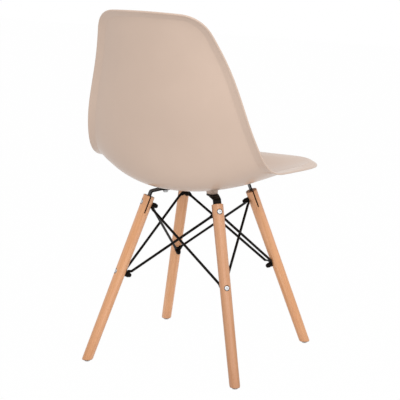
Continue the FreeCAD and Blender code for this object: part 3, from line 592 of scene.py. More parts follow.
def flare_at(away):
    """How far the wall is set back at this distance from the rim, and its slope there."""
    run = max(0.0, FLARE_WIDTH - away)
    if run < FLARE_CREASE:
        depth = FLARE_SLOPE * run * run / (2.0 * FLARE_CREASE)
        slope = FLARE_SLOPE * run / FLARE_CREASE
    else:
        depth = FLARE_SLOPE * (run - FLARE_CREASE / 2.0)
        slope = FLARE_SLOPE
    near = max(0.0, 1.0 - away / EDGE_ROLL_WIDTH)
    return depth + EDGE_ROLL_DEPTH * near * near, slope + 2.0 * EDGE_ROLL_DEPTH * near / EDGE_ROLL_WIDTH


print("at the rim the wall is set back", round(flare_at(0.0)[0], 1), "mm")

# %% [markdown]
# Inside the rim band the shell is an even grid. A line of the band joins each point of the rim to the
# edge of that grid. The direction through the wall leans with the flare's slope, and the steps along
# a line lie close together in the crease and the roll.

# %% Lines of the rim band
RIM_BAND_WIDTH = 70.0
RIM_STEPS = [0.0, 0.7, 1.5, 2.4, 3.4, 4.5, 6.0, 8.0, 10.5, 12.4, 13.0, 13.6, 14.2, 14.8, 15.4, 16.0,
             16.5, 17.0, 17.8, 19.5, 22.5, 27.0, 34.0, 44.0]


def inner_point(row, column):
    """A place of the even grid inside the rim band, as across and along."""
    along = RIM_BAND_WIDTH + (SHELL_LENGTH - 2.0 * RIM_BAND_WIDTH) * row / (ROWS_ALONG - 1)
    edge = half_width(along) - RIM_BAND_WIDTH
    return (edge * (1.0 - 2.0 * column / (COLUMNS_ACROSS - 1)), along)


def rim_line(flat_rim, flat_inner):
    """(middle of wall, through the wall, towards the rim) at each step from the rim inwards."""
    rim = wall_point(*flat_rim)
    straight = rim - wall_point(*flat_inner)
    reach = straight.length
    line = []
    for step in RIM_STEPS + [reach]:
        x, y = [a + (b - a) * step / reach for a, b in zip(flat_rim, flat_inner)]
        point = wall_point(x, y)
        normal = wall_normal(x, y)
        outward = (straight - normal * straight.dot(normal)).normalized()
        depth, slope = flare_at((rim - point).length)
        flare = math.atan(slope)
        leaned = normal * math.cos(flare) + outward * math.sin(flare)
        rimward = outward * math.cos(flare) - normal * math.sin(flare)
        line.append((point - normal * depth, leaned, rimward))
    return line


last_row = ROWS_ALONG - 1
last_column = COLUMNS_ACROSS - 1
rim_bands = [
    [rim_line(flat, inner_point(row, 0)) for row, flat in enumerate(right_rim)],
    [rim_line(flat, inner_point(last_row, column)) for column, flat in enumerate(top_rim)],
    [rim_line(flat, inner_point(0, column)) for column, flat in enumerate(front_rim)],
    [rim_line((-flat[0], flat[1]), inner_point(row, last_column)) for row, flat in enumerate(right_rim)],
]
print("the rim band has", sum(len(band) for band in rim_bands), "lines")

# %% [markdown]
# ## The shell's mesh
#
# The wall is 4.5 mm thick. Its two faces lie half of that to each side of the middle, and a rounded
# lip joins them all the way round. The patches share their border points, so welding them gives one
# closed skin with no seams.

# %% Build the moulded shell
WALL = 4.5
LIP_STEPS = 8

points = []
faces = []


def add_patch(rows):
    """Adds a grid of points in millimetres, and its faces, to the shell."""
    faces.extend(grid_faces(len(rows), len(rows[0]), start=len(points)))
    points.extend(point / 1000.0 for row in rows for point in row)


for side in (WALL / 2.0, -WALL / 2.0):
    for band in rim_bands:
        add_patch([[point + normal * side for point, normal, rimward in line] for line in band])
    centre_rows = []
    for row in range(ROWS_ALONG):
        flats = [inner_point(row, column) for column in range(COLUMNS_ACROSS)]
        centre_rows.append([wall_point(*flat) + wall_normal(*flat) * side for flat in flats])
    add_patch(centre_rows)
lip_turns = [math.pi * step / LIP_STEPS for step in range(LIP_STEPS + 1)]
for band in rim_bands:
    rims = [line[0] for line in band]
    add_patch([[point + (normal * math.cos(turn) + rimward * math.sin(turn)) * WALL / 2.0
                for turn in lip_turns] for point, normal, rimward in rims])

seat_shell = make_piece("moulded_shell", points, faces, satin_polypropylene, sharp_deg=80.0)
print(seat_shell.name, "has", len(seat_shell.data.polygons), "faces")

# %% [markdown]
# ## The bosses under the seat
#
# Four round bosses are moulded under the seat, one over each bracket. The mould needs draft, so each
# boss widens upwards, and a fillet runs it into the shell's underside. The fillet's top ring is found
# by stepping up to the underside, so the boss fits the curved seat all the way round.

# %% One side of a boss
REAR_BRACKET_RISE = 16.5
FRONT_BRACKET_RISE = 26.0
BOSS_RADIUS_FROM_CENTRE = 85.0
BOSS_FACE_RADIUS = 13.0
BOSS_DRAFT = math.tan(math.radians(4.0))
BOSS_EDGE_ROUND = 3.0
BOSS_FILLET = 3.0
BOSS_FILLET_TURNS_DEG = (0, 18, 36, 54, 72, 90)
INSERT_HOLE_RADIUS = 4.52
INSERT_LENGTH = 8.0
BOSS_SINK = 0.6
BOSS_POINTS_AROUND = 72
UNDERSIDE_TRIES = 6


def underside_height(x, y):
    """Height of the shell's underside over a point of the floor near the middle of the seat."""
    along = along_shell[MIDDLE_STATION] + y
    for _ in range(UNDERSIDE_TRIES):
        under = wall_point(x, along) - wall_normal(x, along) * (WALL / 2.0)
        along += y + base_centre_y - under.y
    return under.z


def boss_column(under, face):
    """One side of a boss as (radius, height): up its hole, round its lower edge, up and into the seat."""
    hole_top = face + INSERT_LENGTH
    column = [(0.0, hole_top), (INSERT_HOLE_RADIUS, hole_top), (INSERT_HOLE_RADIUS, face)]
    column += arc((BOSS_FACE_RADIUS - BOSS_EDGE_ROUND, face + BOSS_EDGE_ROUND), BOSS_EDGE_ROUND, -90, 0, 7)
    wall_radius = BOSS_FACE_RADIUS + BOSS_DRAFT * (under(BOSS_FACE_RADIUS) - face)
    for turn_deg in BOSS_FILLET_TURNS_DEG:
        turn = math.radians(turn_deg)
        radius = wall_radius + BOSS_FILLET * (1.0 - math.cos(turn))
        column.append((radius, under(radius) - BOSS_FILLET * (1.0 - math.sin(turn))))
    radius, height = column[-1]
    return column + [(radius, height + BOSS_SINK), (0.0, under(0.0) + BOSS_SINK)]


print("the middle of the seat's underside is", round(underside_height(0.0, 0.0)), "mm up")

# %% [markdown]
# The side of a boss is different at every angle, because the seat curves. So each boss is a ring of
# such sides, and all four are one mesh.

# %% Draw the four bosses
def boss_rows(angle, face):
    """All the points of a boss, in rings from its hole to the seat."""
    middle_x = BOSS_RADIUS_FROM_CENTRE * math.cos(angle)
    middle_y = BOSS_RADIUS_FROM_CENTRE * math.sin(angle)
    columns = []
    for turn in full_turn(BOSS_POINTS_AROUND):
        def spot(radius):
            return middle_x + radius * math.cos(turn), middle_y + radius * math.sin(turn)

        column = []
        for radius, height in boss_column(lambda radius: underside_height(*spot(radius)), face):
            x, y = spot(radius)
            column.append(mm(x, y + base_centre_y, height))
        columns.append(column)
    return list(zip(*columns))


points = []
faces = []
for angle_deg in (45, 135, 225, 315):
    rise = REAR_BRACKET_RISE if angle_deg < 180 else FRONT_BRACKET_RISE
    rows = boss_rows(math.radians(angle_deg), LEG_TOP_HEIGHT + rise)
    faces.extend(grid_faces(len(rows), BOSS_POINTS_AROUND, start=len(points), closed=True))
    points.extend(point for row in rows for point in row)
seat_bosses = make_piece("seat_bosses", points, faces, satin_polypropylene, sharp_deg=50.0)
print(seat_bosses.name, "has", len(seat_bosses.data.polygons), "faces")

# %% [markdown]
# ## Leg space
#
# The rest of the chair is the same at all four corners, so each piece is modelled once, for a leg
# that leans straight along +X, and repeated later. Leg space has its origin at the middle of the
# leg's top, Z up along the leg and X outwards across it. A matrix and a function take meshes and
# points from leg space to the chair.

# %% From leg space to the chair
LEG_TOP_RADIUS = 123.8
LEG_SPLAY = math.radians(21.0)
LEG_TOP_DIAMETER = 26.6
LEG_FOOT_DIAMETER = 23.8
BOLT_DROPS = (18.0, 190.0)

LEG_TURN = Matrix.Rotation(-LEG_SPLAY, 3, "Y")
LEG_PLACE = Vector((LEG_TOP_RADIUS, 0.0, LEG_TOP_HEIGHT))
FROM_LEG_SPACE = Matrix.Translation(LEG_PLACE / 1000.0) @ LEG_TURN.to_4x4()
ACROSS_LEG = Matrix.Rotation(math.pi / 2.0, 3, "Y")
leg_length = LEG_TOP_HEIGHT / math.cos(LEG_SPLAY)


def on_leg(point):
    """A point of leg space in the chair's millimetres, on the leg that leans along +X."""
    return LEG_TURN @ Vector(point) + LEG_PLACE


def leg_radius(drop):
    """The leg's radius at this distance below its top."""
    share = drop / leg_length
    return (LEG_TOP_DIAMETER + (LEG_FOOT_DIAMETER - LEG_TOP_DIAMETER) * share) / 2.0


print("each leg is", round(leg_length), "mm long on its axis")

# %% [markdown]
# ## Four copies with Geometry Nodes
#
# A node tree repeats a piece around the chair's middle. It puts points at the centre, instances the
# piece on them with a step of turn between copies, stores the number of each copy for the wood's
# colour, and then makes the copies real and gives them their material.

# %% A tree that repeats a piece around the chair
REPEAT_INPUTS = {
    "Piece": "NodeSocketGeometry",
    "Copies": "NodeSocketInt",
    "First angle": "NodeSocketFloat",
    "Step": "NodeSocketFloat",
    "Centre": "NodeSocketVector",
    "Material": "NodeSocketMaterial",
}


def repeat_tree():
    """The node tree, with a named input for everything that differs between pieces."""
    tree = bpy.data.node_groups.new("around_the_chair", "GeometryNodeTree")
    for name, kind in REPEAT_INPUTS.items():
        tree.interface.new_socket(name, in_out="INPUT", socket_type=kind)
    tree.interface.new_socket("Pieces", in_out="OUTPUT", socket_type="NodeSocketGeometry")
    given = add(tree, "NodeGroupInput").outputs
    spots = add(tree, "GeometryNodePoints", {"Count": given["Copies"], "Position": given["Centre"]})
    number = add(tree, "GeometryNodeInputIndex")
    turned = {0: number, 1: given["Step"], 2: given["First angle"]}
    angle = add(tree, "ShaderNodeMath", turned, operation="MULTIPLY_ADD")
    turn = add(tree, "ShaderNodeCombineXYZ", {"Z": angle})
    copies = add(tree, "GeometryNodeInstanceOnPoints", {
        "Points": spots, "Instance": given["Piece"], "Rotation": turn})
    numbered = add(tree, "GeometryNodeStoreNamedAttribute", {
        "Geometry": copies, "Name": "which_copy", "Value": number}, data_type="FLOAT", domain="INSTANCE")
    real = add(tree, "GeometryNodeRealizeInstances", {0: numbered})
    finished = add(tree, "GeometryNodeSetMaterial", {"Geometry": real, "Material": given["Material"]})
    add(tree, "NodeGroupOutput", {0: finished})
    return tree


around_the_chair = repeat_tree()
print("the tree has", len(around_the_chair.nodes), "nodes")

# %% [markdown]
# A modifier runs the tree on a piece. Its inputs are set by the sockets' identifiers, and then the
# result is kept as a plain mesh, because the finished chair carries no modifiers.

# %% Repeat a piece and keep the result as a plain mesh
def finished_mesh(piece):
    """A new mesh of a piece with all its modifiers worked out."""
    bpy.context.view_layer.update()
    worked_out = piece.evaluated_get(bpy.context.evaluated_depsgraph_get())
    return bpy.data.meshes.new_from_object(worked_out)


def repeat_piece(master, name, material, copies=4, first_deg=-45.0, step_deg=90.0):
    """Runs the tree on a piece, keeps the result as one mesh, and removes the master."""
    modifier = master.modifiers.new("repeat", "NODES")
    modifier.node_group = around_the_chair
    values = {"Copies": copies, "First angle": math.radians(first_deg), "Step": math.radians(step_deg),
              "Centre": (0.0, mm(base_centre_y), 0.0), "Material": material}
    for socket in around_the_chair.interface.items_tree:
        if socket.name in values:
            modifier[socket.identifier] = values[socket.name]
    mesh = finished_mesh(master)
    mesh.name = name
    piece = in_scene(name, mesh)
    bpy.data.objects.remove(master)
    print(name, "has", len(mesh.polygons), "faces")
    return piece


print("pieces repeat around Y =", round(mm(base_centre_y), 4), "m")

# %% [markdown]
# ## Cutting and trimming
#
# Slots, holes and counterbores are cut the way a workshop does it, with a tool shape taken away from
# the piece. An exact boolean does that here. The cutter is removed afterwards.

# %% Cut one mesh with others
def cut(piece, cutters):
    """Takes the cutters away from a piece and removes them."""
    for cutter in cutters:
        modifier = piece.modifiers.new("cut", "BOOLEAN")
        modifier.operation = "DIFFERENCE"
        modifier.solver = "EXACT"
        modifier.object = cutter
    mesh = finished_mesh(piece)
    piece.modifiers.clear()
    piece.data = mesh
    for cutter in cutters:
        bpy.data.objects.remove(cutter)


def drill(diameter, drop, start_x, end_x):
    """A round cutter across the leg, from start_x to end_x, at this distance below its top."""
    profile = [(0.0, start_x), (diameter / 2.0, start_x), (diameter / 2.0, end_x), (0.0, end_x)]
    points, faces = spun(profile, around=64)
    return make_piece("cutter", [ACROSS_LEG @ point - mm(0, 0, drop) for point in points], faces)


print("the bolt holes lie", " and ".join(str(drop) for drop in BOLT_DROPS), "mm below the leg's top")

# %% [markdown]
# ## The legs
#
# Each leg is a dowel that is a little thicker at the top. Its top edge is eased. A thin slot is
# sawn down from the top for the bracket, and two bolt holes run across with wide counterbores on
# the outer side. The foot is sawn level with the floor and its edge is chamfered.

# %% Turn, slot and drill the leg
LEG_TOP_EASING = 1.2
TOP_RING_INSET = 3.0
LEG_RING_DROPS = (8.0, 30.0, 60.0, 120.0, 180.0, 240.0, 300.0, 360.0)
LEG_SLOT_DEPTH = 41.0
SLOT_WIDTH = 3.2
SLOT_END_STEPS = 12
BOLT_HOLE_DIAMETER = 6.4
COUNTERBORE_DIAMETER = 13.4
COUNTERBORE_DEPTH = 3.4
CUTTER_SPARE = 30.0

lowest = leg_length + CUTTER_SPARE
eased = leg_radius(0) - LEG_TOP_EASING
profile = [(0.0, 0.0), (eased - TOP_RING_INSET, 0.0)]
profile += list(reversed(arc((eased, -LEG_TOP_EASING), LEG_TOP_EASING, 0, 90, 4)))
profile += [(leg_radius(drop), -drop) for drop in (*LEG_RING_DROPS, lowest)]
profile += [(0.0, -lowest)]
points, faces = spun(profile, around=96)
leg = make_piece("leg_master", points, faces)

slot_half = SLOT_WIDTH / 2.0
slot_bottom = LEG_SLOT_DEPTH - slot_half
slot_turns = [math.pi * step / SLOT_END_STEPS for step in range(SLOT_END_STEPS + 1)]
outline = [(slot_half, CUTTER_SPARE), (-slot_half, CUTTER_SPARE)]
outline += [(-slot_half * math.cos(turn), -slot_bottom - slot_half * math.sin(turn)) for turn in slot_turns]
count = len(outline)
points = [mm(x, y, z) for y in (-CUTTER_SPARE, CUTTER_SPARE) for x, z in outline]
faces = [tuple(range(count)), tuple(range(count, 2 * count))]
faces += [(k, (k + 1) % count, (k + 1) % count + count, k + count) for k in range(count)]
cutters = [make_piece("cutter", points, faces)]
for drop in BOLT_DROPS:
    cutters.append(drill(BOLT_HOLE_DIAMETER, drop, -CUTTER_SPARE, CUTTER_SPARE))
    cutters.append(drill(COUNTERBORE_DIAMETER, drop, leg_radius(drop) - COUNTERBORE_DEPTH, CUTTER_SPARE))
cut(leg, cutters)
print("the slotted leg has", len(leg.data.polygons), "faces")

# %% [markdown]
# The foot is trimmed in leg space, where the floor is a tilted plane. The edges of the fresh cut are
# then bevelled. Each point keeps its leg-space position as an attribute for the wood's grain.

# %% Trim the foot and store the grain's space
LEG_FOOT_CHAMFER = 3.2
GLIDE_HEIGHT = 3.6

floor_up = LEG_TURN.inverted() @ Vector((0.0, 0.0, 1.0))
foot_plane = LEG_TURN.inverted() @ (Vector((0.0, 0.0, GLIDE_HEIGHT)) - LEG_PLACE)
shape = bmesh.new()
shape.from_mesh(leg.data)
trimmed = bmesh.ops.bisect_plane(
    shape, geom=shape.verts[:] + shape.edges[:] + shape.faces[:],
    plane_co=foot_plane / 1000.0, plane_no=floor_up, clear_inner=True)
rim_edges = [item for item in trimmed["geom_cut"] if isinstance(item, bmesh.types.BMEdge)]
bmesh.ops.contextual_create(shape, geom=rim_edges)
bmesh.ops.bevel(shape, geom=rim_edges, offset=mm(LEG_FOOT_CHAMFER), segments=2, profile=0.6,
                affect="EDGES", offset_type="OFFSET")
shape.to_mesh(leg.data)
shape.free()
leg_space = leg.data.attributes.new("leg_space", "FLOAT_VECTOR", "POINT")
leg_space.data.foreach_set("vector", [value for vertex in leg.data.vertices for value in vertex.co])
leg.data.transform(FROM_LEG_SPACE)
soften(leg.data, 30.0)
legs = repeat_piece(leg, "beech_legs", lacquered_beech)

# %% [markdown]
# ## Bolts
#
# Each leg has two bolts through it. Outside, a low domed head with a cross recess sits in its
# counterbore. The bolt is a turned shape, and the recess is cut with two crossed blades, like the tip
# of a driver.

# %% The sizes of a bolt and its recess
BOLT_DIAMETER = 5.9
BOLT_TIP_EASING = 0.5
BOLT_HEAD_DIAMETER = 10.8
BOLT_HEAD_HEIGHT = 2.8
BOLT_HEAD_ROUND = 1.0
BOLT_HEAD_FLAT = 2.0
RECESS_LEVELS = ((3.0, 1.5, 1.0), (2.6, 1.3, 0.0), (1.6, 0.9, -1.6))
TAB_THICKNESS = 2.0
TAB_STANDOFF = 0.06
NUT_BORE_DEPTH = 8.0
BOLT_END_GAP = 0.8


def nut_seat(drop):
    """How far from the leg's axis a cap nut sits, on top of the two rod ends."""
    return leg_radius(drop) + 2.0 * (TAB_THICKNESS + TAB_STANDOFF)


def drive_blade(top, turn):
    """One blade of a cross-shaped driver, narrowing as it goes in."""
    turned = Matrix.Rotation(turn, 3, "Z")
    points = []
    for half_length, width, above in RECESS_LEVELS:
        for x, y in ((1, 1), (-1, 1), (-1, -1), (1, -1)):
            points.append(turned @ mm(x * half_length, y * width / 2.0, top + above))
    faces = [(0, 1, 2, 3), (8, 9, 10, 11)] + grid_faces(3, 4, closed=True)
    return make_piece("cutter", points, faces)


print("the upper cap nut sits", round(nut_seat(BOLT_DROPS[0]), 1), "mm from the leg's axis")

# %% [markdown]
# The bolt is spun upright and then laid across the leg.

# %% A bolt for each station on the leg
def bolt(drop):
    """A bolt across the leg, from the tip of its shank to its head."""
    seat = leg_radius(drop) - COUNTERBORE_DEPTH
    end = -nut_seat(drop) - NUT_BORE_DEPTH + BOLT_END_GAP
    head = BOLT_HEAD_DIAMETER / 2.0
    shank = BOLT_DIAMETER / 2.0
    top = seat + BOLT_HEAD_HEIGHT
    profile = [(0.0, end), (shank - BOLT_TIP_EASING, end), (shank, end + BOLT_TIP_EASING), (shank, seat),
               (head, seat)]
    profile += arc((head - BOLT_HEAD_ROUND, top - BOLT_HEAD_ROUND), BOLT_HEAD_ROUND, 0, 90, 6)
    profile += [(BOLT_HEAD_FLAT, top), (0.0, top)]
    points, faces = spun(profile, around=64)
    piece = make_piece("bolt_master", points, faces)
    cut(piece, [drive_blade(top, math.radians(quarter)) for quarter in (0.0, 90.0)])
    piece.data.transform(ACROSS_LEG.to_4x4())
    piece.data.transform(Matrix.Translation(mm(0, 0, -drop)))
    return piece


def place_on_leg(piece):
    """Carries a piece from leg space to the leg that leans along +X."""
    piece.data.transform(FROM_LEG_SPACE)
    soften(piece.data, 40.0)
    return piece


leg_bolts = []
for drop, level in zip(BOLT_DROPS, ("upper", "lower")):
    leg_bolts.append(repeat_piece(place_on_leg(bolt(drop)), level + "_leg_bolts", zinc_plate))

# %% [markdown]
# ## Cap nuts
#
# Inside each leg, a domed cap nut holds the ends of two rods. A nut's hexagon has its corners
# trimmed by a cone at each end, so its radius is the smaller of the hexagon's and the cone's, and it
# can be spun like any turned shape.

# %% A cap nut for each station
NUT_ACROSS_FLATS = 11.0
NUT_HEX_HEIGHT = 6.0
NUT_DOME_HEIGHT = 5.4
NUT_DOME_ROUND = 4.3
NUT_SHOULDER = 0.4
NUT_CORNER_TRIM = 0.8
NUT_TRIM_HEIGHT = NUT_CORNER_TRIM * 0.6
THREAD_CLEARANCE = 0.05


def hexagon_radius(turn):
    """The radius of the nut's hexagon at this angle."""
    flat = math.radians(60.0)
    return NUT_ACROSS_FLATS / 2.0 / math.cos((turn % flat) - flat / 2.0)


def cap_nut(drop):
    """A nut against its seat, with its dome towards the chair's middle."""
    corner = NUT_ACROSS_FLATS / 2.0 / math.cos(math.radians(30.0))
    trimmed = corner - NUT_CORNER_TRIM
    bore = BOLT_DIAMETER / 2.0 + THREAD_CLEARANCE
    dome = NUT_ACROSS_FLATS / 2.0 - NUT_SHOULDER
    top = NUT_HEX_HEIGHT + NUT_DOME_HEIGHT
    profile = [(0.0, NUT_BORE_DEPTH), (bore, NUT_BORE_DEPTH), (bore, 0.0), (trimmed, 0.0),
               (corner, NUT_TRIM_HEIGHT), (corner, NUT_HEX_HEIGHT - NUT_TRIM_HEIGHT),
               (trimmed, NUT_HEX_HEIGHT), (dome, NUT_HEX_HEIGHT)]
    profile += arc((dome - NUT_DOME_ROUND, top - NUT_DOME_ROUND), NUT_DOME_ROUND, 0, 90, 10)
    profile += [(0.0, top)]
    points, faces = spun(profile, around=96, limit=hexagon_radius)
    piece = make_piece("nut_master", points, faces)
    piece.data.transform(Matrix.Rotation(-math.pi / 2.0, 4, "Y"))
    piece.data.transform(Matrix.Translation(mm(-nut_seat(drop), 0, -drop)))
    return piece


cap_nuts = []
for drop, level in zip(BOLT_DROPS, ("upper", "lower")):
    cap_nuts.append(repeat_piece(place_on_leg(cap_nut(drop)), level + "_cap_nuts", black_enamel))

# %% [markdown]
# ## The brackets
#
# A bracket starts as a flat steel blank: a round pad, from which a strap narrows towards the leg. It
# is bent twice in a press. Its centre line is a path with two rounded corners, which runs from the
# pad over the bend and down into the leg's slot. The front pair stands higher, because the seat rises
# towards the front.

# %% Centre line of the bent strap
STRAP_NARROW_WIDTH = 19.0
STRAP_THICKNESS = 3.0
STRAP_PAD_DIAMETER = 26.0
STRAP_PAD_RUN = 12.0
STRAP_BEND_RADIUS = 5.0
STRAP_BEND_STEPS = 8
STRAP_END_GAP = 3.0
REAR_BEND_RISE = 11.5
FRONT_BEND_RISE = 21.5


def bent_path(corners, radius):
    """Points along a path with rounded corners, each with its distance from the start."""
    path = [corners[0]]
    for before, corner, after in zip(corners, corners[1:], corners[2:]):
        arrive = (corner - before).normalized()
        leave = (after - corner).normalized()
        turn = arrive.angle(leave)
        inwards = (leave - arrive).normalized()
        centre = corner + inwards * (radius / math.cos(turn / 2.0))
        start = corner - arrive * (radius * math.tan(turn / 2.0)) - centre
        axis = arrive.cross(leave).normalized()
        for step in range(STRAP_BEND_STEPS + 1):
            path.append(centre + Matrix.Rotation(turn * step / STRAP_BEND_STEPS, 3, axis) @ start)
    path.append(corners[-1])
    lengths = [0.0]
    for one, two in zip(path, path[1:]):
        lengths.append(lengths[-1] + (two - one).length)
    return path, lengths


def strap_path(face, bend_rise):
    """The strap's centre line, from the pad's far edge over the bend and down into the slot."""
    pad_middle = face - STRAP_THICKNESS / 2.0
    return bent_path([
        Vector((BOSS_RADIUS_FROM_CENTRE - STRAP_PAD_DIAMETER / 2.0, 0.0, pad_middle)),
        Vector((BOSS_RADIUS_FROM_CENTRE + STRAP_PAD_RUN, 0.0, pad_middle)),
        on_leg((0.0, 0.0, bend_rise)),
        on_leg((0.0, 0.0, -(LEG_SLOT_DEPTH - STRAP_END_GAP))),
    ], STRAP_BEND_RADIUS)


for rise, bend_rise in ((FRONT_BRACKET_RISE, FRONT_BEND_RISE), (REAR_BRACKET_RISE, REAR_BEND_RISE)):
    print("one blank is", round(strap_path(LEG_TOP_HEIGHT + rise, bend_rise)[1][-1]), "mm long")

# %% [markdown]
# The blank's two sides leave the pad's circle without a corner and draw together up to the bend. Two
# functions tell where they do so, and how wide the blank is anywhere.

# %% The width of the blank
PAD_RADIUS = STRAP_PAD_DIAMETER / 2.0


def narrowing_sides(bend_x):
    """Where the strap's sides leave the pad's circle, and where they have narrowed, seen from above."""
    run = bend_x - BOSS_RADIUS_FROM_CENTRE
    narrow = STRAP_NARROW_WIDTH / 2.0
    turn = math.atan2(narrow, run) + math.acos(PAD_RADIUS / math.hypot(run, narrow))
    return (PAD_RADIUS * math.cos(turn), PAD_RADIUS * math.sin(turn)), (run, narrow)


def blank_half_width(from_centre, sides):
    """Half the strap's width at this distance out from the pad's middle, seen from above."""
    (leave_x, leave_y), (end_x, end_y) = sides
    if from_centre < leave_x:
        return math.sqrt(max(0.0, PAD_RADIUS ** 2 - from_centre ** 2))
    share = min(1.0, (from_centre - leave_x) / (end_x - leave_x))
    return leave_y + (end_y - leave_y) * share


rear_sides = narrowing_sides(on_leg((0.0, 0.0, REAR_BEND_RISE)).x)
print("a rear strap narrows from", round(2.0 * rear_sides[0][1], 1), "to", 2.0 * rear_sides[1][1], "mm")

# %% [markdown]
# Each row of the blank is four points: two on top and two below. The rows lie close together round
# the pad and at the bends.

# %% Carry the rows to the bent centre line
PAD_ROWS = 28
CLOSEST_ROWS = 0.5


def strap_frame(path, lengths, distance):
    """Point and upward direction on the bent centre line at this distance."""
    k, share = place_along(lengths, distance)
    heading = (path[k + 1] - path[k]).normalized()
    return path[k].lerp(path[k + 1], share), Vector((-heading.z, 0.0, heading.x))


def bent_strap(face, bend_rise):
    """The bent blank, without its holes."""
    path, lengths = strap_path(face, bend_rise)
    sides = narrowing_sides(on_leg((0.0, 0.0, bend_rise)).x)
    pad_end = PAD_RADIUS + sides[0][0]
    distances = [PAD_RADIUS * (1.0 - math.cos(math.pi * row / PAD_ROWS)) for row in range(PAD_ROWS + 1)]
    distances = [distance for distance in distances if distance < pad_end - CLOSEST_ROWS] + [pad_end]
    distances += [distance for distance in lengths if distance > pad_end + CLOSEST_ROWS]
    points = []
    for distance in distances:
        middle_point, upward = strap_frame(path, lengths, distance)
        half = blank_half_width(middle_point.x - BOSS_RADIUS_FROM_CENTRE, sides)
        for y, side in ((half, 1), (half, -1), (-half, -1), (-half, 1)):
            corner = middle_point + Vector((0.0, y, 0.0)) + upward * (side * STRAP_THICKNESS / 2.0)
            points.append(corner / 1000.0)
    faces = grid_faces(len(distances), 4, closed=True)
    faces += [tuple(range(len(points) - 4, len(points))), (0, 1, 2, 3)]
    return make_piece("bracket_master", points, faces)


print("a strap is", STRAP_THICKNESS, "mm thick")

# %% [markdown]
# The holes are drilled last: one up through the pad for the seat bolt, and one across the strap for
# the leg's upper bolt.

# %% Drill the bracket and round its edges
EDGE_ROUND = mm(0.5)
SEAT_BOLT_HOLE_DIAMETER = 6.5
PAD_DRILL_REACH = 9.0


def pad_drill(face):
    """A round cutter up through the pad."""
    radius = SEAT_BOLT_HOLE_DIAMETER / 2.0
    low, high = face - PAD_DRILL_REACH, face + PAD_DRILL_REACH
    points, faces = spun([(0.0, low), (radius, low), (radius, high), (0.0, high)])
    return make_piece("cutter", [point + mm(BOSS_RADIUS_FROM_CENTRE, 0, 0) for point in points], faces)


def bracket(face, bend_rise):
    """A bracket with its holes and rounded edges."""
    piece = bent_strap(face, bend_rise)
    leg_hole = drill(BOLT_HOLE_DIAMETER, BOLT_DROPS[0], -CUTTER_SPARE, CUTTER_SPARE)
    leg_hole.data.transform(FROM_LEG_SPACE)
    cut(piece, [pad_drill(face), leg_hole])
    rounding = piece.modifiers.new("round_edges", "BEVEL")
    rounding.width = EDGE_ROUND
    rounding.segments = 2
    rounding.limit_method = "ANGLE"
    rounding.angle_limit = math.radians(50.0)
    soften(piece.data, 50.0)
    return piece


print("each bracket's edges are rounded by", EDGE_ROUND, "m")

# %% [markdown]
# ## The seat bolts and washers
#
# A short bolt with a tall domed head goes up through each pad into the boss. Its head has a round
# socket, and a washer spreads its load. They are turned shapes, so each is a profile spun round.

# %% Seat bolts and their washers
SEAT_BOLT_DIAMETER = 5.9
SEAT_BOLT_HEAD_DIAMETER = 12.2
SEAT_BOLT_HEAD_HEIGHT = 5.6
SEAT_BOLT_HEAD_ROUND = 3.2
SEAT_BOLT_SOCKET_DIAMETER = 4.0
SEAT_BOLT_SOCKET_DEPTH = 2.2
SEAT_WASHER_DIAMETER = 13.6
SEAT_WASHER_THICKNESS = 1.6
BROKEN_EDGE = 0.2


def place_at_boss(profile, name):
    """Spins a profile and sets it under the boss that lies along +X."""
    points, faces = spun(profile)
    piece = make_piece(name, points, faces)
    piece.data.transform(Matrix.Translation(mm(BOSS_RADIUS_FROM_CENTRE, 0, 0)))
    return piece


def seat_washer(face):
    """A flat ring under the pad whose four edges are slightly broken."""
    edge = BROKEN_EDGE
    inner = SEAT_BOLT_HOLE_DIAMETER / 2.0
    outer = SEAT_WASHER_DIAMETER / 2.0
    high = face - STRAP_THICKNESS
    low = high - SEAT_WASHER_THICKNESS
    profile = [(inner + edge, low), (outer - edge, low), (outer, low + edge), (outer, high - edge),
               (outer - edge, high), (inner + edge, high), (inner, high - edge), (inner, low + edge),
               (inner + edge, low)]
    return place_at_boss(profile, "washer_master")


def seat_bolt(face):
    """A bolt with its head down, from the floor of its socket out to the tip of its shank."""
    washer_low = face - STRAP_THICKNESS - SEAT_WASHER_THICKNESS
    head_low = washer_low - SEAT_BOLT_HEAD_HEIGHT
    head = SEAT_BOLT_HEAD_DIAMETER / 2.0
    shank = SEAT_BOLT_DIAMETER / 2.0
    shank_top = face + INSERT_LENGTH - BOLT_END_GAP
    socket = SEAT_BOLT_SOCKET_DIAMETER / 2.0
    socket_floor = head_low + SEAT_BOLT_SOCKET_DEPTH
    profile = [(0.0, socket_floor), (socket, socket_floor), (socket, head_low + BROKEN_EDGE),
               (socket + BROKEN_EDGE, head_low)]
    profile += arc((head - SEAT_BOLT_HEAD_ROUND, head_low + SEAT_BOLT_HEAD_ROUND),
                   SEAT_BOLT_HEAD_ROUND, -90, 0, 10)
    profile += [(head, washer_low), (shank, washer_low), (shank, shank_top - BOLT_TIP_EASING),
                (shank - BOLT_TIP_EASING, shank_top), (0.0, shank_top)]
    return place_at_boss(profile, "seat_bolt_master")


print("a seat bolt reaches", round(INSERT_LENGTH - BOLT_END_GAP, 1), "mm into its insert")

# %% [markdown]
# The front and rear pairs differ in height only, so one loop makes both. Each pair is two copies, a
# quarter turn apart.

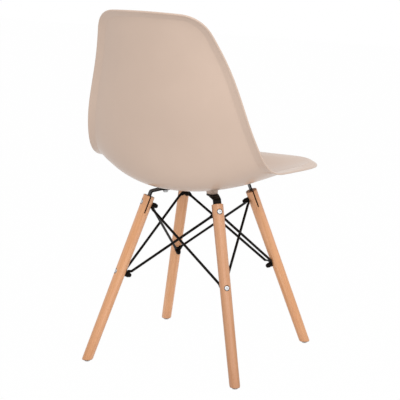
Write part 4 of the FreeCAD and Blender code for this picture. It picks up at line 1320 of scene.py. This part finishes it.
# %% Two pairs of brackets, washers and seat bolts
brackets = {}
seat_washers = {}
seat_bolts = {}
for pair, rise, bend_rise, turns in (("front", FRONT_BRACKET_RISE, FRONT_BEND_RISE, (2, -45.0, -90.0)),
                                     ("rear", REAR_BRACKET_RISE, REAR_BEND_RISE, (2, 45.0, 90.0))):
    face = LEG_TOP_HEIGHT + rise
    brackets[pair] = repeat_piece(bracket(face, bend_rise), pair + "_steel_brackets", black_enamel, *turns)
    seat_washers[pair] = repeat_piece(seat_washer(face), pair + "_seat_washers", zinc_plate, *turns)
    seat_bolts[pair] = repeat_piece(seat_bolt(face), pair + "_seat_bolts", zinc_plate, *turns)

# %% [markdown]
# ## The brace rods
#
# Each rod is a round bar whose ends are pressed flat, rounded and drilled. Two rods meet at every
# bolt. The first lies against the leg and the second lies on the first, so the second is set inwards
# by just enough to pass the first where they cross. The flat ends at the lower bolts hang a little.

# %% Where a rod's end sits on a leg
ROD_DIAMETER = 6.0
ROD_CROSSING_GAP = 0.3
TAB_WIDTH = 12.0
TAB_NECK_WIDTH = 10.0
TAB_SHOULDER = 3.0
TAB_NECK_LENGTH = 7.0
TAB_NECK_RISE = 0.8
TAB_SAG_DEG = 6.0
tab_flat_length = TAB_WIDTH / 2.0 + TAB_SHOULDER
tab_reach = tab_flat_length + TAB_NECK_LENGTH


def tab_seat(drop, layer, quarter_turns):
    """The hole's centre and the direction away from the leg, on the leg this many quarter turns round."""
    depth = leg_radius(drop) + TAB_STANDOFF + layer * (TAB_THICKNESS + TAB_STANDOFF) + TAB_THICKNESS / 2.0
    turn = Matrix.Rotation(math.radians(90.0 * quarter_turns), 3, "Z")
    return turn @ on_leg((-depth, 0.0, -drop)), turn @ (LEG_TURN @ Vector((-1.0, 0.0, 0.0)))


def flattened(direction, normal):
    """A direction laid into the plane across this normal."""
    return (direction - normal * direction.dot(normal)).normalized()


def sagging(heading, facing):
    """The heading of a flat end that has turned downwards on its bolt."""
    sideways = facing.cross(heading)
    if sideways.z > 0:
        sideways.negate()
    sag = math.radians(TAB_SAG_DEG)
    return heading * math.cos(sag) + sideways * math.sin(sag)


def crossing_joggle(high_facing, low_facing, span):
    """How much further in the second rod lies, so that it clears the first at the crossing."""
    level = high_facing - low_facing
    level.z = 0.0
    level.normalize()
    mirrored_span = span - level * (2.0 * span.dot(level))
    apart = span.cross(mirrored_span).normalized()
    gain = abs((high_facing + low_facing).dot(apart)) / 2.0
    return (ROD_DIAMETER + ROD_CROSSING_GAP) / gain - TAB_THICKNESS - TAB_STANDOFF


high_seat, high_facing = tab_seat(BOLT_DROPS[0], 0, 0)
low_seat, low_facing = tab_seat(BOLT_DROPS[1], 0, 1)
joggle = crossing_joggle(high_facing, low_facing, (low_seat - high_seat).normalized())
print("the second rod lies", round(joggle, 2), "mm further in than its flat ends alone would put it")

# %% [markdown]
# A rod end is drawn as one tube of rings. A ring is a squared-off circle, so the same rule gives the
# flat end, the neck and the bar: along the neck the ring grows rounder and thicker and turns into the
# bar's direction, with a soft start and a soft end.

# %% One ring of a rod
RING_POINTS = 28
FLAT_SQUARENESS = 12.0
ROUND_SQUARENESS = 2.0


def blend(start, end, share):
    """The number this share of the way from start to end."""
    return start + (end - start) * share


def ring(centre, wide, thick, half_across, half_through, squareness):
    """A ring between a circle (squareness 2) and a rounded rectangle (squareness 8 and more)."""
    points = []
    for turn in full_turn(RING_POINTS):
        c, s = math.cos(turn), math.sin(turn)
        across = math.copysign(abs(c) ** (2.0 / squareness), c) * half_across
        through = math.copysign(abs(s) ** (2.0 / squareness), s) * half_through
        points.append((centre + wide * across + thick * through) / 1000.0)
    return points


print("each ring has", RING_POINTS, "points")

# %% [markdown]
# The rings of an end start at its rounded tip, pass the hole and the shoulders, and end where the bar
# begins.

# %% Rings from the flat end to the round bar
EYE_TURNS_DEG = (2, 12, 24, 38, 54, 72, 90)
SHOULDER_SHARES = (0.4, 0.75, 1.0)
NECK_STEPS = 8
NECK_ROUNDING = 0.4


def end_rings(hole, facing, heading, knee, bar_direction):
    """Rings of one rod end, from its rounded tip to the start of the bar."""
    rings = []
    wide = facing.cross(heading).normalized()
    half_tab = TAB_THICKNESS / 2.0
    half_neck = TAB_NECK_WIDTH / 2.0
    half_bar = ROD_DIAMETER / 2.0
    eye = TAB_WIDTH / 2.0
    for turn in map(math.radians, EYE_TURNS_DEG):
        centre = hole - heading * (eye * math.cos(turn))
        rings.append(ring(centre, wide, facing, eye * math.sin(turn), half_tab, FLAT_SQUARENESS))
    for share in SHOULDER_SHARES:
        centre = hole + heading * (tab_flat_length * share)
        rings.append(ring(centre, wide, facing, blend(eye, half_neck, share), half_tab, FLAT_SQUARENESS))
    flat_end = hole + heading * tab_flat_length
    bar_wide = flattened(wide, bar_direction)
    for step in range(1, NECK_STEPS + 1):
        share = step / NECK_STEPS
        ease = share * share * (3.0 - 2.0 * share)
        centre = flat_end.lerp(knee, share)
        centre -= facing * ((knee - flat_end).dot(facing) * (share - ease))
        way = heading.lerp(bar_direction, ease).normalized()
        across = flattened(wide.lerp(bar_wide, ease), way)
        through = across.cross(way) if across.cross(way).dot(facing) > 0 else way.cross(across)
        half_across = blend(half_neck, half_bar, ease)
        half_through = blend(half_tab, half_bar, ease)
        squareness = blend(FLAT_SQUARENESS, ROUND_SQUARENESS, ease ** NECK_ROUNDING)
        rings.append(ring(centre, across, through, half_across, half_through, squareness))
    return rings


print("a rod end has", len(EYE_TURNS_DEG) + len(SHOULDER_SHARES) + NECK_STEPS, "rings")

# %% [markdown]
# A rod runs from the upper bolt of one leg to the lower bolt of the next. The outer rods, which lie
# against the legs, turn one way round the chair, and the inner rods turn the other way.

# %% Both ends of a rod
def brace_rod(layer, quarter_turns):
    """The two ends of a rod, and each hole's place and direction."""
    high_hole, high_facing = tab_seat(BOLT_DROPS[0], layer, 0)
    low_hole, low_facing = tab_seat(BOLT_DROPS[1], layer, quarter_turns)
    span = (low_hole - high_hole).normalized()
    high_heading = flattened(span, high_facing)
    low_heading = sagging(flattened(-span, low_facing), low_facing)
    rise = TAB_NECK_RISE + layer * joggle
    high_knee = high_hole + high_heading * tab_reach + high_facing * rise
    low_knee = low_hole + low_heading * tab_reach + low_facing * rise
    direction = (low_knee - high_knee).normalized()
    points = []
    faces = []
    for rings in (end_rings(high_hole, high_facing, high_heading, high_knee, direction),
                  end_rings(low_hole, low_facing, low_heading, low_knee, -direction)):
        start = len(points)
        points += [point for each in rings for point in each]
        faces += grid_faces(len(rings), RING_POINTS, start=start, closed=True)
        faces.append(tuple(range(start, start + RING_POINTS)))
    return points, faces, ((high_hole, high_facing), (low_hole, low_facing))


print("the outer rods' ends have", len(brace_rod(0, 1)[0]), "points")

# %% [markdown]
# The bar is the plainest part of a rod, so it only bridges the open rims of the two ends. The holes
# are cut before the rod is repeated.

# %% Bridge, drill and repeat the rods
def bridge(points, faces):
    """Joins the two open rims of a rod by a smooth round bar."""
    mesh = bpy.data.meshes.new("rod")
    mesh.from_pydata([tuple(point) for point in points], [], faces)
    shape = bmesh.new()
    shape.from_mesh(mesh)
    open_edges = [edge for edge in shape.edges if edge.is_boundary]
    bmesh.ops.bridge_loops(shape, edges=open_edges)
    bmesh.ops.recalc_face_normals(shape, faces=shape.faces)
    shape.to_mesh(mesh)
    shape.free()
    return mesh


def finished_rod(layer, quarter_turns, name):
    """A drilled rod, repeated on the chair's four sides."""
    points, faces, eyes = brace_rod(layer, quarter_turns)
    rod = in_scene(name + "_master", bridge(points, faces))
    radius = BOLT_HOLE_DIAMETER / 2.0
    reach = TAB_THICKNESS
    profile = [(0.0, -reach), (radius, -reach), (radius, reach), (0.0, reach)]
    drill_points, drill_faces = spun(profile, around=40)
    holes = []
    for hole, facing in eyes:
        turn = Vector((0.0, 0.0, 1.0)).rotation_difference(facing).to_matrix()
        placed = [turn @ point + hole / 1000.0 for point in drill_points]
        holes.append(make_piece("cutter", placed, drill_faces))
    cut(rod, holes)
    soften(rod.data, 40.0)
    return repeat_piece(rod, name, black_enamel)


outer_rods = finished_rod(0, 1, "outer_brace_rods")
inner_rods = finished_rod(1, -1, "inner_brace_rods")

# %% [markdown]
# ## The glides
#
# A plastic glide is nailed under each foot. It is a small disc that narrows towards the floor, with
# a recess for the nail's head. Its two outer edges are rounded in short steps, outwards and up.

# %% Glides under the feet
GLIDE_DIAMETER = 15.0
GLIDE_FACE_DIAMETER = 12.0
LOWER_EDGE = ((-0.5, 0.0), (-0.1, 0.15), (0.25, 0.5))
UPPER_EDGE = ((0.0, -0.5), (-0.15, -0.1), (-0.5, 0.0))
NAIL_RADIUS = 1.25
NAIL_HEAD_RADIUS = 3.05
NAIL_RECESS = 1.4

foot_radius = LEG_TOP_RADIUS + (LEG_TOP_HEIGHT - GLIDE_HEIGHT) * math.tan(LEG_SPLAY)
profile = [(NAIL_HEAD_RADIUS, 0.0)]
profile += [(GLIDE_FACE_DIAMETER / 2.0 + out, up) for out, up in LOWER_EDGE]
profile += [(GLIDE_DIAMETER / 2.0 + out, GLIDE_HEIGHT + up) for out, up in UPPER_EDGE]
profile += [(NAIL_RADIUS, GLIDE_HEIGHT), (NAIL_RADIUS, NAIL_RECESS), (NAIL_HEAD_RADIUS, NAIL_RECESS),
            (NAIL_HEAD_RADIUS, 0.0)]
points, faces = spun(profile, around=56)
glide = make_piece("glide_master", points, faces)
glide.data.transform(Matrix.Translation(mm(foot_radius, 0, 0)))
glides = repeat_piece(glide, "foot_glides", polyethylene)

# %% [markdown]
# ## The pieces that stay as packed
#
# The brass inserts and the nails are almost hidden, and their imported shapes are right, so they only
# get their materials.

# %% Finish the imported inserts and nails
CORNER_NAMES = ("front_left", "rear_left", "rear_right", "front_right")

for corner in CORNER_NAMES:
    for node, material in (("threaded_insert_" + corner, turned_brass), ("glide_nail_" + corner, zinc_plate)):
        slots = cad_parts[node].data.materials
        slots.clear()
        slots.append(material)
print("finished", 2 * len(CORNER_NAMES), "packed pieces")

# %% [markdown]
# ## Handing the pieces to the frame
#
# Nothing on this chair moves, so every piece rides on the one body. Each new piece lists the packed pieces it
# stands for, which are hidden, and a finish name that nothing reads.

# %% Ride and replace
def corners_of(kind):
    """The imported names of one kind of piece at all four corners."""
    return [kind + "_" + corner for corner in CORNER_NAMES]


first_rods = []
second_rods = []
for index, side in enumerate(("left", "rear", "right", "front")):
    first_rods.append("brace_rod_" + side + "_from_" + CORNER_NAMES[index])
    second_rods.append("brace_rod_" + side + "_from_" + CORNER_NAMES[(index + 1) % 4])

standing_for = [
    (seat_shell, ["seat_shell"], "shell_plastic"),
    (seat_bosses, ["seat_shell"], "shell_plastic"),
    (legs, corners_of("leg"), "leg_wood"),
    (leg_bolts[0], corners_of("leg_bolt_upper"), "bright_fastener"),
    (leg_bolts[1], corners_of("leg_bolt_lower"), "bright_fastener"),
    (cap_nuts[0], corners_of("cap_nut_upper"), "black_metal"),
    (cap_nuts[1], corners_of("cap_nut_lower"), "black_metal"),
    (outer_rods, first_rods, "black_metal"),
    (inner_rods, second_rods, "black_metal"),
    (glides, corners_of("glide"), "glide_plastic"),
]
for pair in ("front", "rear"):
    for kind, pieces, slot in (("bracket", brackets, "black_metal"),
                               ("seat_washer", seat_washers, "bright_fastener"),
                               ("seat_bolt", seat_bolts, "bright_fastener")):
        nodes = [node for node in corners_of(kind) if node.startswith(kind + "_" + pair)]
        standing_for.append((pieces[pair], nodes, slot))
for piece, nodes, slot in standing_for:
    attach(piece, "root")
    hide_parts(*nodes)
replaced = {node for _, nodes, _ in standing_for for node in nodes}
print(len(standing_for), "pieces stand for", len(replaced), "packed nodes")

# %% [markdown]
# ## The floor
#
# The photograph's background is pure white. The floor is a pale matt board, and rays that come
# straight from the camera, a reflection or a clear surface see it mostly as plain white, with just
# enough of the real surface mixed in to keep the chair's shadow.

# %% A pale floor that keeps the shadow
FLOOR_SIZE = 12.0
FLOOR_DROP = mm(0.05)
FIBRE_SPACING = mm(2.5)
WHITE_SHARE = 0.985
PLAIN_WHITE = colour("FFFFFF")


def seen_directly(tree):
    """1 for a ray from the camera, a reflection or a clear surface, and 0 for any other."""
    ray = add(tree, "ShaderNodeLightPath").outputs
    seen = ray["Is Camera Ray"]
    for kind in ("Is Glossy Ray", "Is Transmission Ray"):
        seen = add(tree, "ShaderNodeMath", {0: seen, 1: ray[kind]}, operation="MAXIMUM")
    return seen


board, tree = new_material("pale_board")
place = add(tree, "ShaderNodeTexCoord").outputs["Object"]
fibres = add(tree, "ShaderNodeTexNoise", {"Vector": place, "Scale": 1.0 / FIBRE_SPACING, "Detail": 2.0})
tone = add(tree, "ShaderNodeValToRGB", {"Fac": fibres}, [(0.3, "E6E6E6"), (0.7, "EBEBEB")])
matt = add(tree, "ShaderNodeBsdfDiffuse", {"Color": tone})
white = add(tree, "ShaderNodeEmission", {"Color": PLAIN_WHITE, "Strength": 1.0})
share = add(tree, "ShaderNodeMath", {0: seen_directly(tree), 1: WHITE_SHARE}, operation="MULTIPLY")
mixed = add(tree, "ShaderNodeMixShader", {0: share, 1: matt, 2: white})
add(tree, "ShaderNodeOutputMaterial", {"Surface": mixed})

half = FLOOR_SIZE / 2.0
floor_corners = [(x, y, -FLOOR_DROP) for x, y in ((-half, -half), (half, -half), (half, half), (-half, half))]
floor = make_piece("studio_floor", floor_corners, [(0, 1, 2, 3)], board)
print("the floor is", FLOOR_SIZE, "m square")

# %% [markdown]
# ## Light
#
# The chair stands in an even white studio. The world gives most of the light, and it is plain white
# to the camera and in reflections. Two wide soft lamps hang behind the chair, one over the camera
# and one to its right, so the right side of the back is a little brighter than the left.

# %% World and lamps
WORLD_LEVEL = 0.72
LAMP_SIZE = 2.0
LAMP_TARGET = Vector((0.0, 0.0, 0.45))

world = bpy.data.worlds.new("white_studio")
bpy.context.scene.world = world
world.use_nodes = True
tree = world.node_tree
tree.nodes.clear()
soft = add(tree, "ShaderNodeBackground", {"Color": PLAIN_WHITE, "Strength": WORLD_LEVEL})
plain = add(tree, "ShaderNodeBackground", {"Color": PLAIN_WHITE, "Strength": 1.0})
mixed = add(tree, "ShaderNodeMixShader", {0: seen_directly(tree), 1: soft, 2: plain})
add(tree, "ShaderNodeOutputWorld", {"Surface": mixed})


def soft_lamp(name, power, place):
    """A wide square lamp of this many watts that looks at the chair."""
    data = bpy.data.lights.new(name, "AREA")
    data.energy = power
    data.shape = "SQUARE"
    data.size = LAMP_SIZE
    lamp = in_scene(name, data)
    lamp.location = place
    lamp.rotation_euler = (LAMP_TARGET - Vector(place)).to_track_quat("-Z", "Y").to_euler()
    print(name, "gives", power, "W")


soft_lamp("lamp_over_camera", 28.6, (-1.13, 2.18, 2.17))
soft_lamp("lamp_on_the_right", 19.3, (-2.34, 0.75, 2.17))

# %% [markdown]
# ## The camera
#
# The camera stands behind the chair and to its right, a little above the seat, with a long lens. Its
# place was worked out from the photograph: the feet, leg tops and bolt heads fix it. A camera looks
# along its own -Z with +Y up, so its matrix is made of its right, up and backward directions.

# %% Set up the camera
CAMERA_TURN = 0.4764
CAMERA_LIFT = 0.2122
CAMERA_DISTANCE = 3.5356
CAMERA_AIM_HEIGHT = 0.4
AIM_LOWERED = 0.0088
AIM_ASIDE = 0.0004
CAMERA_ROLL = 0.0158
PHOTO_WIDTH = 400.0
FOCAL_PIXELS = 1526.5
SENSOR_WIDTH = 36.0
FARTHEST_SEEN = 60.0

world_up = Vector((0.0, 0.0, 1.0))
backward = Vector((-math.sin(CAMERA_TURN) * math.cos(CAMERA_LIFT),
                   math.cos(CAMERA_TURN) * math.cos(CAMERA_LIFT), math.sin(CAMERA_LIFT)))
station = Vector((0.0, mm(base_centre_y), CAMERA_AIM_HEIGHT)) + backward * CAMERA_DISTANCE
looking = -backward
right = looking.cross(world_up).normalized()
looking = (looking - right * AIM_ASIDE - right.cross(looking) * AIM_LOWERED).normalized()
right = looking.cross(world_up).normalized()
up = right.cross(looking)
rolled_right = right * math.cos(CAMERA_ROLL) + up * math.sin(CAMERA_ROLL)
rolled_up = up * math.cos(CAMERA_ROLL) - right * math.sin(CAMERA_ROLL)

camera_data = bpy.data.cameras.new("photo_camera")
camera_data.sensor_width = SENSOR_WIDTH
camera_data.lens = FOCAL_PIXELS / PHOTO_WIDTH * SENSOR_WIDTH
camera_data.clip_end = FARTHEST_SEEN
camera = in_scene("photo_camera", camera_data)
axes = Matrix((rolled_right, rolled_up, -looking)).transposed()
camera.matrix_world = Matrix.Translation(station) @ axes.to_4x4()
bpy.context.scene.camera = camera
print("the lens is", round(camera_data.lens, 1), "mm")

# %% [markdown]
# ## Colours as written
#
# The Standard view shows a colour as it is written, with no film curve.

# %% Set the view
bpy.context.scene.view_settings.view_transform = "Standard"

bpy.context.view_layer.update()
